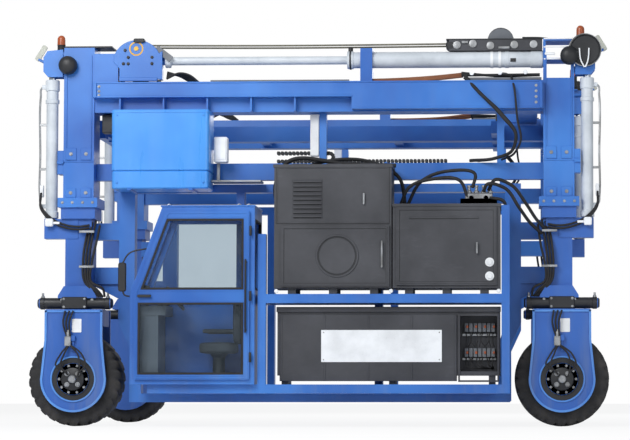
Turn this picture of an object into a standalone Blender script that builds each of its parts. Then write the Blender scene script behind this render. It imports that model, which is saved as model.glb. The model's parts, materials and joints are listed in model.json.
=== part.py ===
"""A straddle carrier for one container: two wheeled sides with telescopic legs, an upper portal
frame, and a spreader hung on ropes. Metres, +Z up, -X the cab end, -Y the cab side."""

import math

import bmesh
import bpy
from mathutils import Matrix, Vector

# Gap between pieces that touch, and the running clearance of pieces that move.
GAP = 0.0003
RUN = 0.008

# Wheels and forks.
WHEELBASE = 6.09
TRACK = 3.70
TYRE_RADIUS = 0.588
TYRE_WIDTH = 0.36
TREAD_WIDTH = 0.27
TREAD_DEPTH = 0.05
RIM_RADIUS = 0.30
RIM_WIDTH = 0.30
RIM_WALL = 0.025
HUB_RADIUS = 0.13
WEB = 0.05
AXLE_RADIUS = 0.06
TYRE_TO_FORK = 0.06
TYRE_TO_CROWN = 0.075
FORK_PLATE = 0.035
FORK_HALF = 0.4125
FORK_NECK_HALF = 0.3625
FORK_NECK_RISE = 0.487
CROWN_HEIGHT = 0.21
MOTOR_RADIUS = 0.20
MOTOR_RECESS = 0.27
MOTOR_PROUD = 0.02

# Legs, steering gear and sleeves.
LEG_WIDTH = 0.33
LEG_INSET = 0.03
BEARING_RADIUS = 0.17
BEARING_HEIGHT = 0.14
ACTUATOR_RADIUS = 0.065
ACTUATOR_LENGTH = 0.90
ACTUATOR_LIFT = 0.01
BASE_FLARE = 0.075
BASE_HEIGHT = 0.15
SHOULDER = 0.05
SHOULDER_HEIGHT = 0.14
LIFT_STROKE = 1.2
LEG_ENGAGED = 0.34
LEG_EXPOSED = 1.139
SLEEVE_WALL = 0.02
SLEEVE_CAP = 0.04
COLLAR = 0.057
COLLAR_HEIGHT = 0.12
HEAD_HEIGHT = 0.43
REAR_HEAD_HEIGHT = 0.52
HEAD_PLATE = 0.03

# Lift cylinders, upright beside the sleeves.
SLEEVE_TO_LIFT = 0.088
LIFT_ASIDE = 0.10
LIFT_RADIUS = 0.075
LIFT_WALL = 0.02
LIFT_ROD_RADIUS = 0.045
LIFT_FLOOR = 0.10
LIFT_LENGTH = 1.76
LIFT_SEAT = 0.14
LIFT_EYE = 0.08

# Upper portal frame.
BEAM_RISE = 1.56
BEAM_HEIGHT = 0.36
BEAM_DEPTH = 0.32
BEAM_IN = 0.15
RAIL_PROUD = 0.14
RAIL_HEIGHT = 0.19
RAIL_END = 0.43
RIB = 0.02
RIB_PITCH = 0.55
RIB_COUNT = 5
MID_RISE = 0.57
MID_HEIGHT = 0.21
MID_DEPTH = 0.14
STRUT_WIDTH = 0.09
CROSS_WIDTH = 0.25
CROSS_IN = 0.07
CROSS_HEIGHT = 0.32
SHEAVE_RADIUS = 0.12
SHEAVE_WIDTH = 0.05
SHEAVE_CHEEK = 0.02

# Hoist: a lying cylinder, its sledge and the rope guide on each side.
HOIST_RISE = 0.30
HOIST_RADIUS = 0.103
HOIST_BORE = 0.062
HOIST_ROD_RADIUS = 0.05
HOIST_LENGTH = 2.46
HOIST_END_WALL = 0.06
HOIST_ENGAGED = 0.30
HOIST_IN = 0.09
SADDLE_WIDTH = 0.15
SADDLE_INSET = 0.17
SLEDGE_LENGTH = 0.48
SLEDGE_WIDTH = 0.26
SLEDGE_HEIGHT = 0.55
SLEDGE_PLATE = 0.03
ANCHOR_LENGTH = 0.30
ANCHOR_HEIGHT = 0.38
GUIDE_LENGTH = 1.18
GUIDE_HEIGHT = 0.14
GUIDE_WIDTH = 0.16
GUIDE_SHEAVE = 0.165

# Spreader.
SPREADER_DROP = 0.04
SPREADER_HEIGHT = 0.20
CORNER_SPACING_X = 5.853
CORNER_SPACING_Y = 2.259
SPREADER_BEAM = 0.20
SPREADER_SPLIT = 0.40
HOUSING = 0.19
HOUSING_DROP = 0.03
ROPE_RADIUS = 0.014
FALL_ASIDE = 1.0

# Wheeled sides: columns, bars and rails in one plane.
COLUMN_OUT = 0.504
COLUMN_WIDTH = 0.20
COLUMN_GAP = 0.05
KNEE_DROP = 0.16
FOOT_DROP = 0.46
COLUMN_TO_TYRE = 0.056
COLUMN_FOOT_WIDTH = 0.15
SIDE_IN = 0.05
SIDE_DEPTH = 0.18
BAR_HEIGHT = 0.21
BAR_LIFT = 0.04
BAR_DROP = 0.39
TOP_RAIL = 0.105
FLOOR_BEAM_LOW = 0.30
FLOOR_BEAM = 0.11
POST_WIDTH = 0.10
GUSSET_DROP = 0.20

# Rack on the near side, which carries the cab and the boxes.
RACK_DEPTH = 0.70
RAIL_WIDTH = 0.12
RACK_RAIL = 0.11
RACK_MID = 1.52
RACK_FRONT = 0.99
TIE_WIDTH = 0.10
TIE_TO_FRONT_POST = 0.625
TIE_TO_REAR_POST = 0.203
TIE_IN = 0.12
TIE_AFTER_CAB = 0.32
TIE_OFF_MIDDLE = 0.10
TIE_TO_FOOT = 0.07
RACK_POST_TOP = 2.72
RACK_FRONT_POST_TOP = 2.37

# Cab.
CAB_WIDTH = 0.76
CAB_LENGTH = 1.53
CAB_START = 0.79
CAB_HEIGHT = 2.18
CAB_BREAK = 1.13
CAB_LEAN = 0.39
CAB_WALL = 0.05
CAB_FRAME = 0.045
DOOR_FRAME = 0.09
DOOR_THICK = 0.04
DOOR_SILL = 1.08
PANE_EDGE = 0.10
SEAT_WIDTH = 0.50
SEAT_HEIGHT = 0.46

# Boxes on the rack.
BOX_FEET = 0.07
BOX_WALL = 0.03
BOX_DEPTH = 0.60
HOUSING_TOP = 3.22
HOUSING_SHARE = 0.52
CABINET_TOP = 2.73
BOX_GAP = 0.015
PANEL_EDGE = 0.11
PANEL_LAP = 0.025
PANEL_THICK = 0.03
ENGINE_DOOR_HEIGHT = 0.70
HINGE_OFF = 0.015
LOWER_TOP = 1.47
LOWER_IN = 0.14
BAY_LENGTH = 0.49
BAY_DEPTH = 0.25

# Fuel and oil tank under the near top beam.
TANK_LENGTH = 1.22
TANK_HEIGHT = 0.99
TANK_DEPTH = 0.48
TANK_START = 0.27
TANK_ROUND = 0.05

# Corner lamps.
LAMP_REACH = 0.61
LAMP_ARM = 0.05
BEACON_RADIUS = 0.055
BEACON_HEIGHT = 0.13
PADDLE_HEIGHT = 0.22
PADDLE_WIDTH = 0.15
DISC_RADIUS = 0.15

# Places worked out from the sizes above.
NEAR, FAR, FRONT, REAR = -1, 1, -1, 1
axle_x = WHEELBASE / 2
wheel_y = TRACK / 2
leg_x = axle_x - LEG_INSET
leg_half = LEG_WIDTH / 2
fork_in = TYRE_WIDTH / 2 + TYRE_TO_FORK
fork_out = fork_in + FORK_PLATE
crown_low = 2 * TYRE_RADIUS + TYRE_TO_CROWN
crown_top = crown_low + CROWN_HEIGHT
leg_low = crown_top + GAP + BEARING_HEIGHT
sleeve_bottom = leg_low + LEG_EXPOSED
leg_top = sleeve_bottom + LIFT_STROKE + LEG_ENGAGED
sleeve_in = leg_half + RUN
sleeve_half = sleeve_in + SLEEVE_WALL
sleeve_top = leg_top + 0.01 + SLEEVE_CAP
beam_end = leg_x - sleeve_half - GAP
beam_in = wheel_y - BEAM_IN
beam_out = beam_in + BEAM_DEPTH
beam_top = sleeve_bottom + BEAM_RISE
beam_low = beam_top - BEAM_HEIGHT
mid_top = sleeve_bottom + MID_RISE
rail_low = beam_top - RAIL_HEIGHT
hoist_y = beam_out - HOIST_IN
hoist_z = beam_top + HOIST_RISE
hoist_end = beam_end - GAP
hoist_start = hoist_end - HOIST_LENGTH
anchor_end = beam_end - ANCHOR_LENGTH
sledge_front = anchor_end - 0.02
sledge_rear = sledge_front - SLEDGE_LENGTH
lift_x = leg_x + sleeve_half + SLEEVE_TO_LIFT + LIFT_RADIUS
lift_y = wheel_y + LIFT_ASIDE
lift_low = sleeve_bottom - LIFT_SEAT
lift_top = lift_low + LIFT_LENGTH
side_out = wheel_y - SIDE_IN
side_in = side_out - SIDE_DEPTH
column_out = axle_x - COLUMN_OUT
column_in = column_out - COLUMN_WIDTH
foot_out = axle_x - TYRE_RADIUS - COLUMN_TO_TYRE
foot_in = foot_out - COLUMN_FOOT_WIDTH
rack_low = FLOOR_BEAM_LOW + FLOOR_BEAM + GAP
rack_top = rack_low + RACK_RAIL
rack_out = side_out + RACK_DEPTH
rack_rear = foot_out
cab_low = rack_top + GAP
cab_front = -axle_x + CAB_START
cab_rear = cab_front + CAB_LENGTH
cab_in = side_out + 0.02
cab_out = cab_in + CAB_WIDTH
lane_y = (cab_out + DOOR_THICK + GAP - wheel_y - fork_out) / 2
sheave_x = beam_end - CROSS_IN - CROSS_WIDTH - SHEAVE_RADIUS - 0.02
fall_x = sheave_x - SHEAVE_RADIUS - ROPE_RADIUS - GAP
cross_low = beam_top - CROSS_HEIGHT
spreader_top = cross_low - SPREADER_DROP
column_top = mid_top - MID_HEIGHT - COLUMN_GAP
column_knee = crown_top - KNEE_DROP
column_foot = crown_top - FOOT_DROP
bar_low = leg_low + BASE_HEIGHT + BAR_LIFT
bar_high = sleeve_bottom - BAR_DROP

ENDS = (("front", FRONT), ("rear", REAR))
SIDES = (("near", NEAR), ("far", FAR))
CORNERS = [(f"{e}_{s}", end, side) for s, side in SIDES for e, end in ENDS]


def clear_scene():
    for item in list(bpy.data.objects):
        bpy.data.objects.remove(item)


def paint(name, color, roughness, metallic=0.0):
    made = bpy.data.materials.new(name)
    made.use_nodes = True
    shader = made.node_tree.nodes["Principled BSDF"]
    shader.inputs["Base Color"].default_value = (*color, 1)
    shader.inputs["Roughness"].default_value = roughness
    shader.inputs["Metallic"].default_value = metallic
    return made


# Shapes: each returns a closed bmesh in the lane's frame, with y = 0 halfway between the sides.


def block(x, y, z):
    """A box between two x, two y and two z values, each pair in any order."""
    low = Vector(min(pair) for pair in (x, y, z))
    high = Vector(max(pair) for pair in (x, y, z))
    made = bmesh.new()
    size = Matrix.Diagonal((*(high - low), 1))
    bmesh.ops.create_cube(made, size=1, matrix=Matrix.Translation((low + high) / 2) @ size)
    return made


def rod(start, end, radius, sides=24):
    """A round bar from one point to another."""
    start, end = Vector(start), Vector(end)
    turn = (end - start).to_track_quat("Z", "Y").to_matrix().to_4x4()
    made = bmesh.new()
    bmesh.ops.create_cone(
        made,
        cap_ends=True,
        segments=sides,
        radius1=radius,
        radius2=radius,
        depth=(end - start).length,
        matrix=Matrix.Translation((start + end) / 2) @ turn,
    )
    return made


def plate(outline, low, high):
    """An outline of (x, z) points, extruded from y = low to y = high."""
    made = bmesh.new()
    face = made.faces.new([made.verts.new((x, low, z)) for x, z in outline])
    grown = bmesh.ops.extrude_face_region(made, geom=[face])["geom"]
    moved = [item for item in grown if isinstance(item, bmesh.types.BMVert)]
    bmesh.ops.translate(made, verts=moved, vec=(0, high - low, 0))
    bmesh.ops.recalc_face_normals(made, faces=made.faces)
    return made


def turned(profile, centre, sides=36):
    """A closed profile of (radius, y) points, spun about the y axis through the centre."""
    made = bmesh.new()
    ring = [made.verts.new((centre[0], centre[1] + y, centre[2] - r)) for r, y in profile]
    edges = [made.edges.new((ring[i - 1], ring[i])) for i in range(len(ring))]
    bmesh.ops.spin(
        made,
        geom=ring + edges,
        cent=centre,
        axis=(0, 1, 0),
        angle=math.tau,
        steps=sides,
        use_merge=True,
    )
    bmesh.ops.remove_doubles(made, verts=made.verts, dist=1e-5)
    bmesh.ops.recalc_face_normals(made, faces=made.faces)
    return made


def arc(centre, radius, start, end, count):
    """Points (x, z) along an arc, its angles in degrees from +x towards +z."""
    points = []
    for i in range(count + 1):
        angle = math.radians(start + (end - start) * i / count)
        points.append((centre[0] + radius * math.cos(angle), centre[1] + radius * math.sin(angle)))
    return points


def mesh_from(shapes, name, pivot):
    joined = bmesh.new()
    for shape in shapes:
        part = bpy.data.meshes.new("part")
        shape.to_mesh(part)
        shape.free()
        joined.from_mesh(part)
        bpy.data.meshes.remove(part)
    bmesh.ops.translate(joined, verts=joined.verts, vec=-Vector(pivot))
    made = bpy.data.meshes.new(name)
    joined.to_mesh(made)
    joined.free()
    return made


def helper(name, shapes, parent, pivot):
    """A hidden object that a Boolean reads."""
    made = bpy.data.objects.new(name, mesh_from(shapes, name, pivot))
    bpy.context.collection.objects.link(made)
    made.parent = parent
    made.hide_render = True
    made.display_type = "WIRE"
    return made


def solid(name, finish, parent, shapes, cuts=()):
    """One node: the first shape, joined with the others and cut by the cuts."""
    pivot = parent["pivot"]
    made = bpy.data.objects.new(name, mesh_from(shapes[:1], name, pivot))
    bpy.context.collection.objects.link(made)
    made.parent = parent
    made.data.materials.append(finish)
    for kind, others in (("UNION", shapes[1:]), ("DIFFERENCE", cuts)):
        if others:
            boolean = made.modifiers.new(kind.lower(), "BOOLEAN")
            boolean.operation = kind
            boolean.solver = "EXACT"
            boolean.use_self = len(others) > 1
            boolean.object = helper(f"{name}_{kind.lower()}", others, parent, pivot)
    return made


def joint_empty(name, pivot, parent=None):
    """An empty on a joint's axis; its pivot is kept in the lane's frame."""
    made = bpy.data.objects.new(name, None)
    bpy.context.collection.objects.link(made)
    made["pivot"] = tuple(pivot)
    held = Vector(parent["pivot"]) if parent else Vector((0, -lane_y, 0))
    made.location = Vector(pivot) - held
    made.parent = parent
    return made


def make_wheel(corner, fork, end, side):
    centre = (end * axle_x, side * wheel_y, TYRE_RADIUS)
    spin = joint_empty(f"wheel_axis_{corner}", centre, fork)
    half = TYRE_WIDTH / 2
    tread = TREAD_WIDTH / 2
    wall = TYRE_RADIUS - TREAD_DEPTH
    bead = RIM_WIDTH / 2
    bulge = (RIM_RADIUS + TYRE_RADIUS) / 2
    tyre = [(RIM_RADIUS + GAP, bead), (bulge, half), (wall, half), (TYRE_RADIUS, tread)]
    tyre += [(r, -y) for r, y in reversed(tyre)]
    solid(f"tyre_{corner}", RUBBER, spin, [turned(tyre, centre)])
    inner = RIM_RADIUS - RIM_WALL
    hub = fork_in - GAP
    rim = [(AXLE_RADIUS + GAP, hub), (HUB_RADIUS, hub), (HUB_RADIUS, WEB / 2), (inner, WEB / 2)]
    rim += [(inner, bead), (RIM_RADIUS, bead)]
    rim += [(r, -y) for r, y in reversed(rim)]
    solid(f"rim_{corner}", BLACK, spin, [turned(rim, centre)])


def make_fork(corner, leg, end, side):
    x, y = end * axle_x, side * wheel_y
    steer = joint_empty(f"steer_axis_{corner}", (x, y, crown_top), leg)
    hub = TYRE_RADIUS
    cheek_top = crown_top - 0.01
    outline = [(x + FORK_NECK_HALF, cheek_top), (x - FORK_NECK_HALF, cheek_top)]
    outline += [(x - FORK_NECK_HALF, hub + FORK_NECK_RISE)]
    outline += arc((x, hub), FORK_HALF, 180, 360, 16)
    outline += [(x + FORK_NECK_HALF, hub + FORK_NECK_RISE)]
    outer, inner = y + side * fork_out, y - side * fork_out
    pocket = outer - side * FORK_PLATE * 0.6
    shapes = [
        plate(outline, y + side * fork_in, outer),
        plate(outline, y - side * fork_in, inner),
        block((x - FORK_NECK_HALF + 0.01, x + FORK_NECK_HALF - 0.01),
              (outer - side * 0.01, inner + side * 0.01), (crown_low, crown_top)),
        rod((x, inner + side * 0.01, hub), (x, outer - side * 0.01, hub), AXLE_RADIUS),
    ]
    motor = rod((x, pocket - side * 0.005, hub), (x, outer + side * MOTOR_PROUD, hub), MOTOR_RADIUS)
    cuts = [rod((x, pocket, hub), (x, outer + side * 0.05, hub), MOTOR_RECESS, 32)]
    made = solid(f"fork_{corner}", BLUE, steer, shapes, cuts)
    boolean = made.modifiers.new("motor", "BOOLEAN")
    boolean.operation = "UNION"
    boolean.object = helper(f"fork_{corner}_motor", [motor], steer, steer["pivot"])
    make_wheel(corner, steer, end, side)


def make_leg(corner, parent, end, side):
    """The inner leg with its flared base, the steering gear under it and the stop shoulder."""
    x, y, axis = end * leg_x, side * wheel_y, end * axle_x
    base = leg_low + 0.03
    flare = leg_half + BASE_FLARE
    skirt = [(x - flare, leg_low), (x - flare, base), (x - leg_half, leg_low + BASE_HEIGHT)]
    skirt += [(2 * x - px, pz) for px, pz in reversed(skirt)]
    gear_z = crown_top + ACTUATOR_LIFT + ACTUATOR_RADIUS
    gear_y = y + side * BEARING_RADIUS
    reach = ACTUATOR_LENGTH / 2
    ring = leg_half + SHOULDER
    shoulder_top = sleeve_bottom - GAP
    seat_z = (lift_low - 0.25, lift_low - GAP)
    lift = end * lift_x
    shapes = [
        block((x - leg_half, x + leg_half), (y - leg_half, y + leg_half), (leg_low, leg_top)),
        plate(skirt, y - flare, y + flare),
        rod((axis, y, crown_top + GAP), (axis, y, leg_low + 0.01), BEARING_RADIUS, 32),
        rod((axis - reach, gear_y, gear_z), (axis + reach, gear_y, gear_z), ACTUATOR_RADIUS, 20),
        block(
            (x - ring, x + ring),
            (y - ring, y + ring),
            (shoulder_top - SHOULDER_HEIGHT, shoulder_top),
        ),
        block(
            (x, lift + end * LIFT_RADIUS),
            (side * (lift_y - LIFT_RADIUS), side * (lift_y + LIFT_RADIUS)),
            seat_z,
        ),
    ]
    made = solid(f"leg_{corner}", BLUE, parent, shapes)
    barrel = [rod((lift, side * lift_y, lift_low), (lift, side * lift_y, lift_top), LIFT_RADIUS)]
    bore = LIFT_RADIUS - LIFT_WALL
    floor = (lift, side * lift_y, lift_low + LIFT_FLOOR)
    hollow = [rod(floor, (lift, side * lift_y, lift_top + 0.05), bore)]
    solid(f"lift_cylinder_{corner}", GREY, parent, barrel, hollow)
    return made


def make_sleeve(corner, parent, end, side):
    """The outer leg with its collar, its head and the rod of the lift cylinder."""
    x, y = end * leg_x, side * wheel_y
    lift = end * lift_x
    head = sleeve_top + (HEAD_HEIGHT if end == FRONT else REAR_HEAD_HEIGHT)
    wide = sleeve_half + COLLAR
    eye_z = (lift_top + 0.06, lift_top + 0.06 + LIFT_EYE)
    rod_low = lift_low + LIFT_FLOOR + 0.10
    shapes = [
        block(
            (x - sleeve_half, x + sleeve_half),
            (y - sleeve_half, y + sleeve_half),
            (sleeve_bottom, head),
        ),
        block(
            (x - wide, x + wide),
            (y - wide, y + wide),
            (sleeve_bottom, sleeve_bottom + COLLAR_HEIGHT),
        ),
        block((x + end * (sleeve_half - 0.01), lift + end * 0.06),
              (side * (lift_y - 0.05), side * (lift_y + 0.05)), eye_z),
        rod((lift, side * lift_y, rod_low), (lift, side * lift_y, eye_z[0] + 0.01),
            LIFT_ROD_RADIUS, 20),
    ]
    cuts = [
        block(
            (x - sleeve_in, x + sleeve_in),
            (y - sleeve_in, y + sleeve_in),
            (sleeve_bottom - 0.1, leg_top + 0.01),
        )
    ]
    if end == REAR:
        inside = sleeve_half - HEAD_PLATE
        shelf = (sleeve_top + head) / 2
        for low, high in ((sleeve_top + 0.02, shelf - 0.01), (shelf + 0.01, head - HEAD_PLATE)):
            cuts.append(block((x - inside, x + inside), (y - 1, y + 1), (low, high)))
    solid(f"sleeve_{corner}", BLUE, parent, shapes, cuts)
    return head


def make_lamp(corner, parent, end, side, head):
    """A bracket on the head with its beacon, a round lamp and a white paddle."""
    foot = end * (leg_x + sleeve_half + GAP)
    tip = end * (leg_x + LAMP_REACH + 0.02)
    arm_z = head - 0.17
    arm_y = side * (wheel_y - 0.04)
    half = LAMP_ARM / 2
    beacon_x = end * (leg_x + sleeve_half + BEACON_RADIUS + 0.01)
    paddle = tip - end * PADDLE_WIDTH
    disc = foot + end * (DISC_RADIUS + 0.03)
    shapes = [
        block((foot, tip), (arm_y - half, arm_y + half), (arm_z - LAMP_ARM, arm_z)),
        rod((beacon_x, arm_y, arm_z - 0.01), (beacon_x, arm_y, head + 0.06 + BEACON_HEIGHT),
            BEACON_RADIUS, 16),
        block((paddle, tip), (arm_y - 0.02, arm_y + 0.02), (arm_z - 0.02, arm_z + PADDLE_HEIGHT)),
        rod((disc, arm_y - 0.05, arm_z - 0.08), (disc, arm_y + 0.05, arm_z - 0.08),
            DISC_RADIUS, 24),
    ]
    solid(f"corner_lamp_{corner}", BLACK, parent, shapes)


def make_portal_side(name, parent, side):
    """The top beam with its rail and hoist seats, and the mid beam with its struts."""
    inner, outer = side * beam_in, side * beam_out
    proud = side * (beam_out + RAIL_PROUD)
    shapes = [
        block((-beam_end, beam_end), (inner, outer), (beam_low, beam_top)),
        block((-beam_end, RAIL_END + 0.01), (outer - side * 0.01, proud), (rail_low, beam_top)),
        block((RAIL_END, beam_end), (outer - side * 0.01, proud), (beam_low + 0.02, beam_top)),
    ]
    for i in range(RIB_COUNT):
        x = -beam_end + 0.33 + i * RIB_PITCH
        shapes.append(block((x, x + RIB), (outer - side * 0.01, proud - side * 0.02),
                            (beam_low, rail_low + 0.01)))
    anchor = (-beam_end, -anchor_end)
    half = SLEDGE_WIDTH / 2
    at = side * hoist_y
    shapes.append(block(anchor, (at - half, at + half), (beam_top - 0.01, beam_top + ANCHOR_HEIGHT)))
    saddle = hoist_start + SADDLE_INSET
    wide = HOIST_RADIUS + 0.03
    shapes.append(block((saddle, saddle + SADDLE_WIDTH), (at - wide, at + wide),
                        (beam_top - 0.01, hoist_z + wide)))
    hole = rod((saddle - 0.1, at, hoist_z), (saddle + 0.3, at, hoist_z), HOIST_RADIUS + GAP, 32)
    solid(f"top_beam_{name}", BLUE, parent, shapes, [hole])

    mid_out = beam_in + MID_DEPTH
    mid_low = mid_top - MID_HEIGHT
    shapes = [block((-beam_end, beam_end), (inner, side * mid_out), (mid_low, mid_top))]
    for x in (0.0, beam_end - 0.58):
        shapes.append(block((x, x + STRUT_WIDTH), (inner, side * mid_out),
                            (mid_top - 0.01, beam_low - GAP)))
    solid(f"mid_beam_{name}", BLUE, parent, shapes)

    barrel = [rod((hoist_start, at, hoist_z), (hoist_end, at, hoist_z), HOIST_RADIUS, 32)]
    hollow = [rod((hoist_start - 0.1, at, hoist_z), (hoist_end - HOIST_END_WALL, at, hoist_z),
                  HOIST_BORE)]
    solid(f"hoist_cylinder_{name}", GREY, parent, barrel, hollow)

    guide_low = hoist_z + HOIST_RADIUS + GAP
    guide_top = guide_low + GUIDE_HEIGHT
    guide = (hoist_end - GUIDE_LENGTH, hoist_end - 0.01)
    middle = guide[0] + GUIDE_LENGTH * 0.55
    shapes = [
        block(guide, (at - GUIDE_WIDTH / 2, at + GUIDE_WIDTH / 2), (guide_low, guide_top)),
        plate(arc((middle, guide_top - 0.01), GUIDE_SHEAVE, 0, 180, 12), at - 0.03, at + 0.03),
    ]
    solid(f"rope_guide_{name}", BLACK, parent, shapes)


def make_cross_beam(name, parent, end):
    """A beam across the portal with a sheave block for each rope fall."""
    outer = end * (beam_end - CROSS_IN)
    inner = outer - end * CROSS_WIDTH
    reach = beam_in - GAP
    shapes = [block((outer, inner), (-reach, reach), (cross_low, beam_top))]
    centre_x = end * sheave_x
    axis_z = cross_low + SHEAVE_RADIUS + 0.12
    for side in (NEAR, FAR):
        y = side * FALL_ASIDE
        half = SHEAVE_WIDTH / 2
        shapes.append(rod((centre_x, y - half, axis_z), (centre_x, y + half, axis_z),
                          SHEAVE_RADIUS, 24))
        for cheek in (-1, 1):
            near_face = y + cheek * half
            shapes.append(block((inner + end * 0.01, centre_x - end * 0.04),
                                (near_face - cheek * 0.002, near_face + cheek * SHEAVE_CHEEK),
                                (axis_z - 0.06, axis_z + 0.06)))
    solid(f"cross_beam_{name}", BLUE, parent, shapes)
    return axis_z


def make_sledge(name, spreader, side):
    """The sledge that the hoist cylinder pulls along the top beam, with its rod."""
    at = side * hoist_y
    low = beam_top + GAP
    front, rear = -sledge_front, -sledge_rear
    slide = joint_empty(f"sledge_path_{name}", (front, at, hoist_z), spreader)
    half = SLEDGE_WIDTH / 2
    radius = SLEDGE_LENGTH / 2
    middle = (front + rear) / 2
    top = low + SLEDGE_HEIGHT
    outline = [(front, low + 0.03), (rear, low + 0.03)]
    outline += arc((middle, top - radius), radius, 0, 180, 14)
    shapes = [
        block((front, rear), (at - half, at + half), (low + 0.03, low + 0.12)),
        block((front + 0.03, front + 0.12), (at - half, at + half), (low, low + 0.04)),
        block((rear - 0.12, rear - 0.03), (at - half, at + half), (low, low + 0.04)),
        plate(outline, at - half, at - half + SLEDGE_PLATE),
        plate(outline, at + half - SLEDGE_PLATE, at + half),
        block((rear - 0.10, rear), (at - half, at + half), (low + 0.05, hoist_z + 0.08)),
        rod((middle - 0.02, at - half + 0.01, top - 0.14), (middle - 0.02, at + half - 0.01, top - 0.14),
            0.10),
        rod((rear - 0.05, at, hoist_z), (hoist_start + HOIST_ENGAGED, at, hoist_z), HOIST_ROD_RADIUS),
    ]
    solid(f"sledge_{name}", BLUE, slide, shapes)


def make_spreader(parent, fall_top):
    hoist = joint_empty("spreader_path", (0, 0, spreader_top), parent)
    low = spreader_top - SPREADER_HEIGHT
    corner_x = CORNER_SPACING_X / 2
    corner_y = CORNER_SPACING_Y / 2
    half = HOUSING / 2
    shapes = []
    for side in (NEAR, FAR):
        y = side * SPREADER_SPLIT
        shapes.append(block((-corner_x, corner_x),
                            (y - SPREADER_BEAM / 2, y + SPREADER_BEAM / 2),
                            (low, spreader_top)))
    for end in (FRONT, REAR):
        x = end * corner_x
        shapes.append(block((x - half + 0.01, x + half - 0.01), (-corner_y, corner_y),
                            (low + 0.02, spreader_top - 0.02)))
        fall = end * fall_x
        shapes.append(block((fall - 0.07, fall + 0.07), (-FALL_ASIDE - 0.07, FALL_ASIDE + 0.07),
                            (low + 0.03, spreader_top - 0.01)))
        for side in (NEAR, FAR):
            y = side * corner_y
            shapes.append(block((x - half, x + half), (y - half, y + half),
                                (low - HOUSING_DROP, spreader_top)))
    for x in (-0.9, 0.9):
        shapes.append(block((x - 0.06, x + 0.06), (-SPREADER_SPLIT, SPREADER_SPLIT),
                            (low + 0.03, spreader_top - 0.03)))
    solid("spreader", BLUE, hoist, shapes)
    for corner, end, side in CORNERS:
        x, y = end * fall_x, side * FALL_ASIDE
        solid(f"rope_fall_{corner}", STEEL, hoist,
              [rod((x, y, spreader_top - 0.01 + GAP), (x, y, fall_top), ROPE_RADIUS, 10)])


def side_frame_shapes(side):
    inner, outer = side * side_in, side * side_out
    shapes = []
    for end in (FRONT, REAR):
        outline = [(column_out, column_top), (column_out, column_knee), (foot_out, column_foot)]
        outline += [(foot_out, FLOOR_BEAM_LOW), (foot_in, FLOOR_BEAM_LOW), (foot_in, column_foot)]
        outline += [(column_in, column_knee), (column_in, column_top)]
        shapes.append(plate([(end * x, z) for x, z in outline], inner, outer))
        leg_face = end * (leg_x - leg_half - GAP)
        for low in (bar_low, bar_high):
            shapes.append(block((end * (column_out - 0.02), leg_face), (inner, outer),
                                (low, low + BAR_HEIGHT)))
        gusset = [(end * (column_out - 0.02), bar_low + 0.01), (leg_face, bar_low + 0.01)]
        gusset += [(leg_face, bar_low - 0.03), (end * (column_out - 0.02), bar_low - GUSSET_DROP)]
        shapes.append(plate(gusset, inner + side * 0.04, outer - side * 0.04))
    shapes.append(block((-column_in - 0.02, column_in + 0.02), (inner, outer),
                        (column_top - TOP_RAIL, column_top)))
    shapes.append(block((-foot_out, foot_out), (inner, outer),
                        (FLOOR_BEAM_LOW, FLOOR_BEAM_LOW + FLOOR_BEAM)))
    for x in post_places:
        shapes.append(block((x - POST_WIDTH / 2, x + POST_WIDTH / 2), (inner, outer),
                            (FLOOR_BEAM_LOW + 0.02, column_top - 0.02)))
    return shapes


def make_rack(parent):
    """Two bottom rails, two mid rails, their ties and the outer posts."""
    side = NEAR
    front = -axle_x + RACK_FRONT
    inner = (side * (side_out + GAP), side * (side_out + GAP + RAIL_WIDTH))
    outer = (side * (rack_out - RAIL_WIDTH), side * rack_out)
    mid = (RACK_MID, RACK_MID + RACK_RAIL)
    low = (rack_low, rack_top)
    shapes = [
        block((front, rack_rear), outer, low),
        block((front, foot_in - 0.01), (inner[0], inner[1]), low),
        block((post_front, rack_rear), outer, mid),
        block((post_front, rack_rear), inner, mid),
        block((post_front, post_front + POST_WIDTH), outer, (rack_low, RACK_FRONT_POST_TOP)),
        block((rack_rear - POST_WIDTH, rack_rear), outer, (rack_low, RACK_POST_TOP)),
        block((rack_rear - POST_WIDTH, rack_rear), (inner[0], outer[1]), mid),
        block((post_front, post_front + POST_WIDTH), (inner[0], outer[1]), mid),
    ]
    for x in tie_places:
        shapes.append(block((x - TIE_WIDTH / 2, x + TIE_WIDTH / 2), (side * (side_in + 0.02), outer[1]),
                            low))
    solid("side_rack", BLUE, parent, shapes)


def cab_outline(inset):
    """The cab's side, drawn in from its outer faces by an inset: (x, z) points."""
    slope = math.atan2(CAB_LEAN, CAB_HEIGHT - CAB_BREAK)
    shift = inset / math.cos(slope)
    drop = inset * math.tan(slope / 2)
    top = cab_low + CAB_HEIGHT - inset
    lean_top = cab_front + CAB_LEAN + shift - inset * math.tan(slope)
    return [
        (cab_front + inset, cab_low + inset),
        (cab_rear - inset, cab_low + inset),
        (cab_rear - inset, top),
        (lean_top, top),
        (cab_front + inset, cab_low + CAB_BREAK - drop),
    ]


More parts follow.
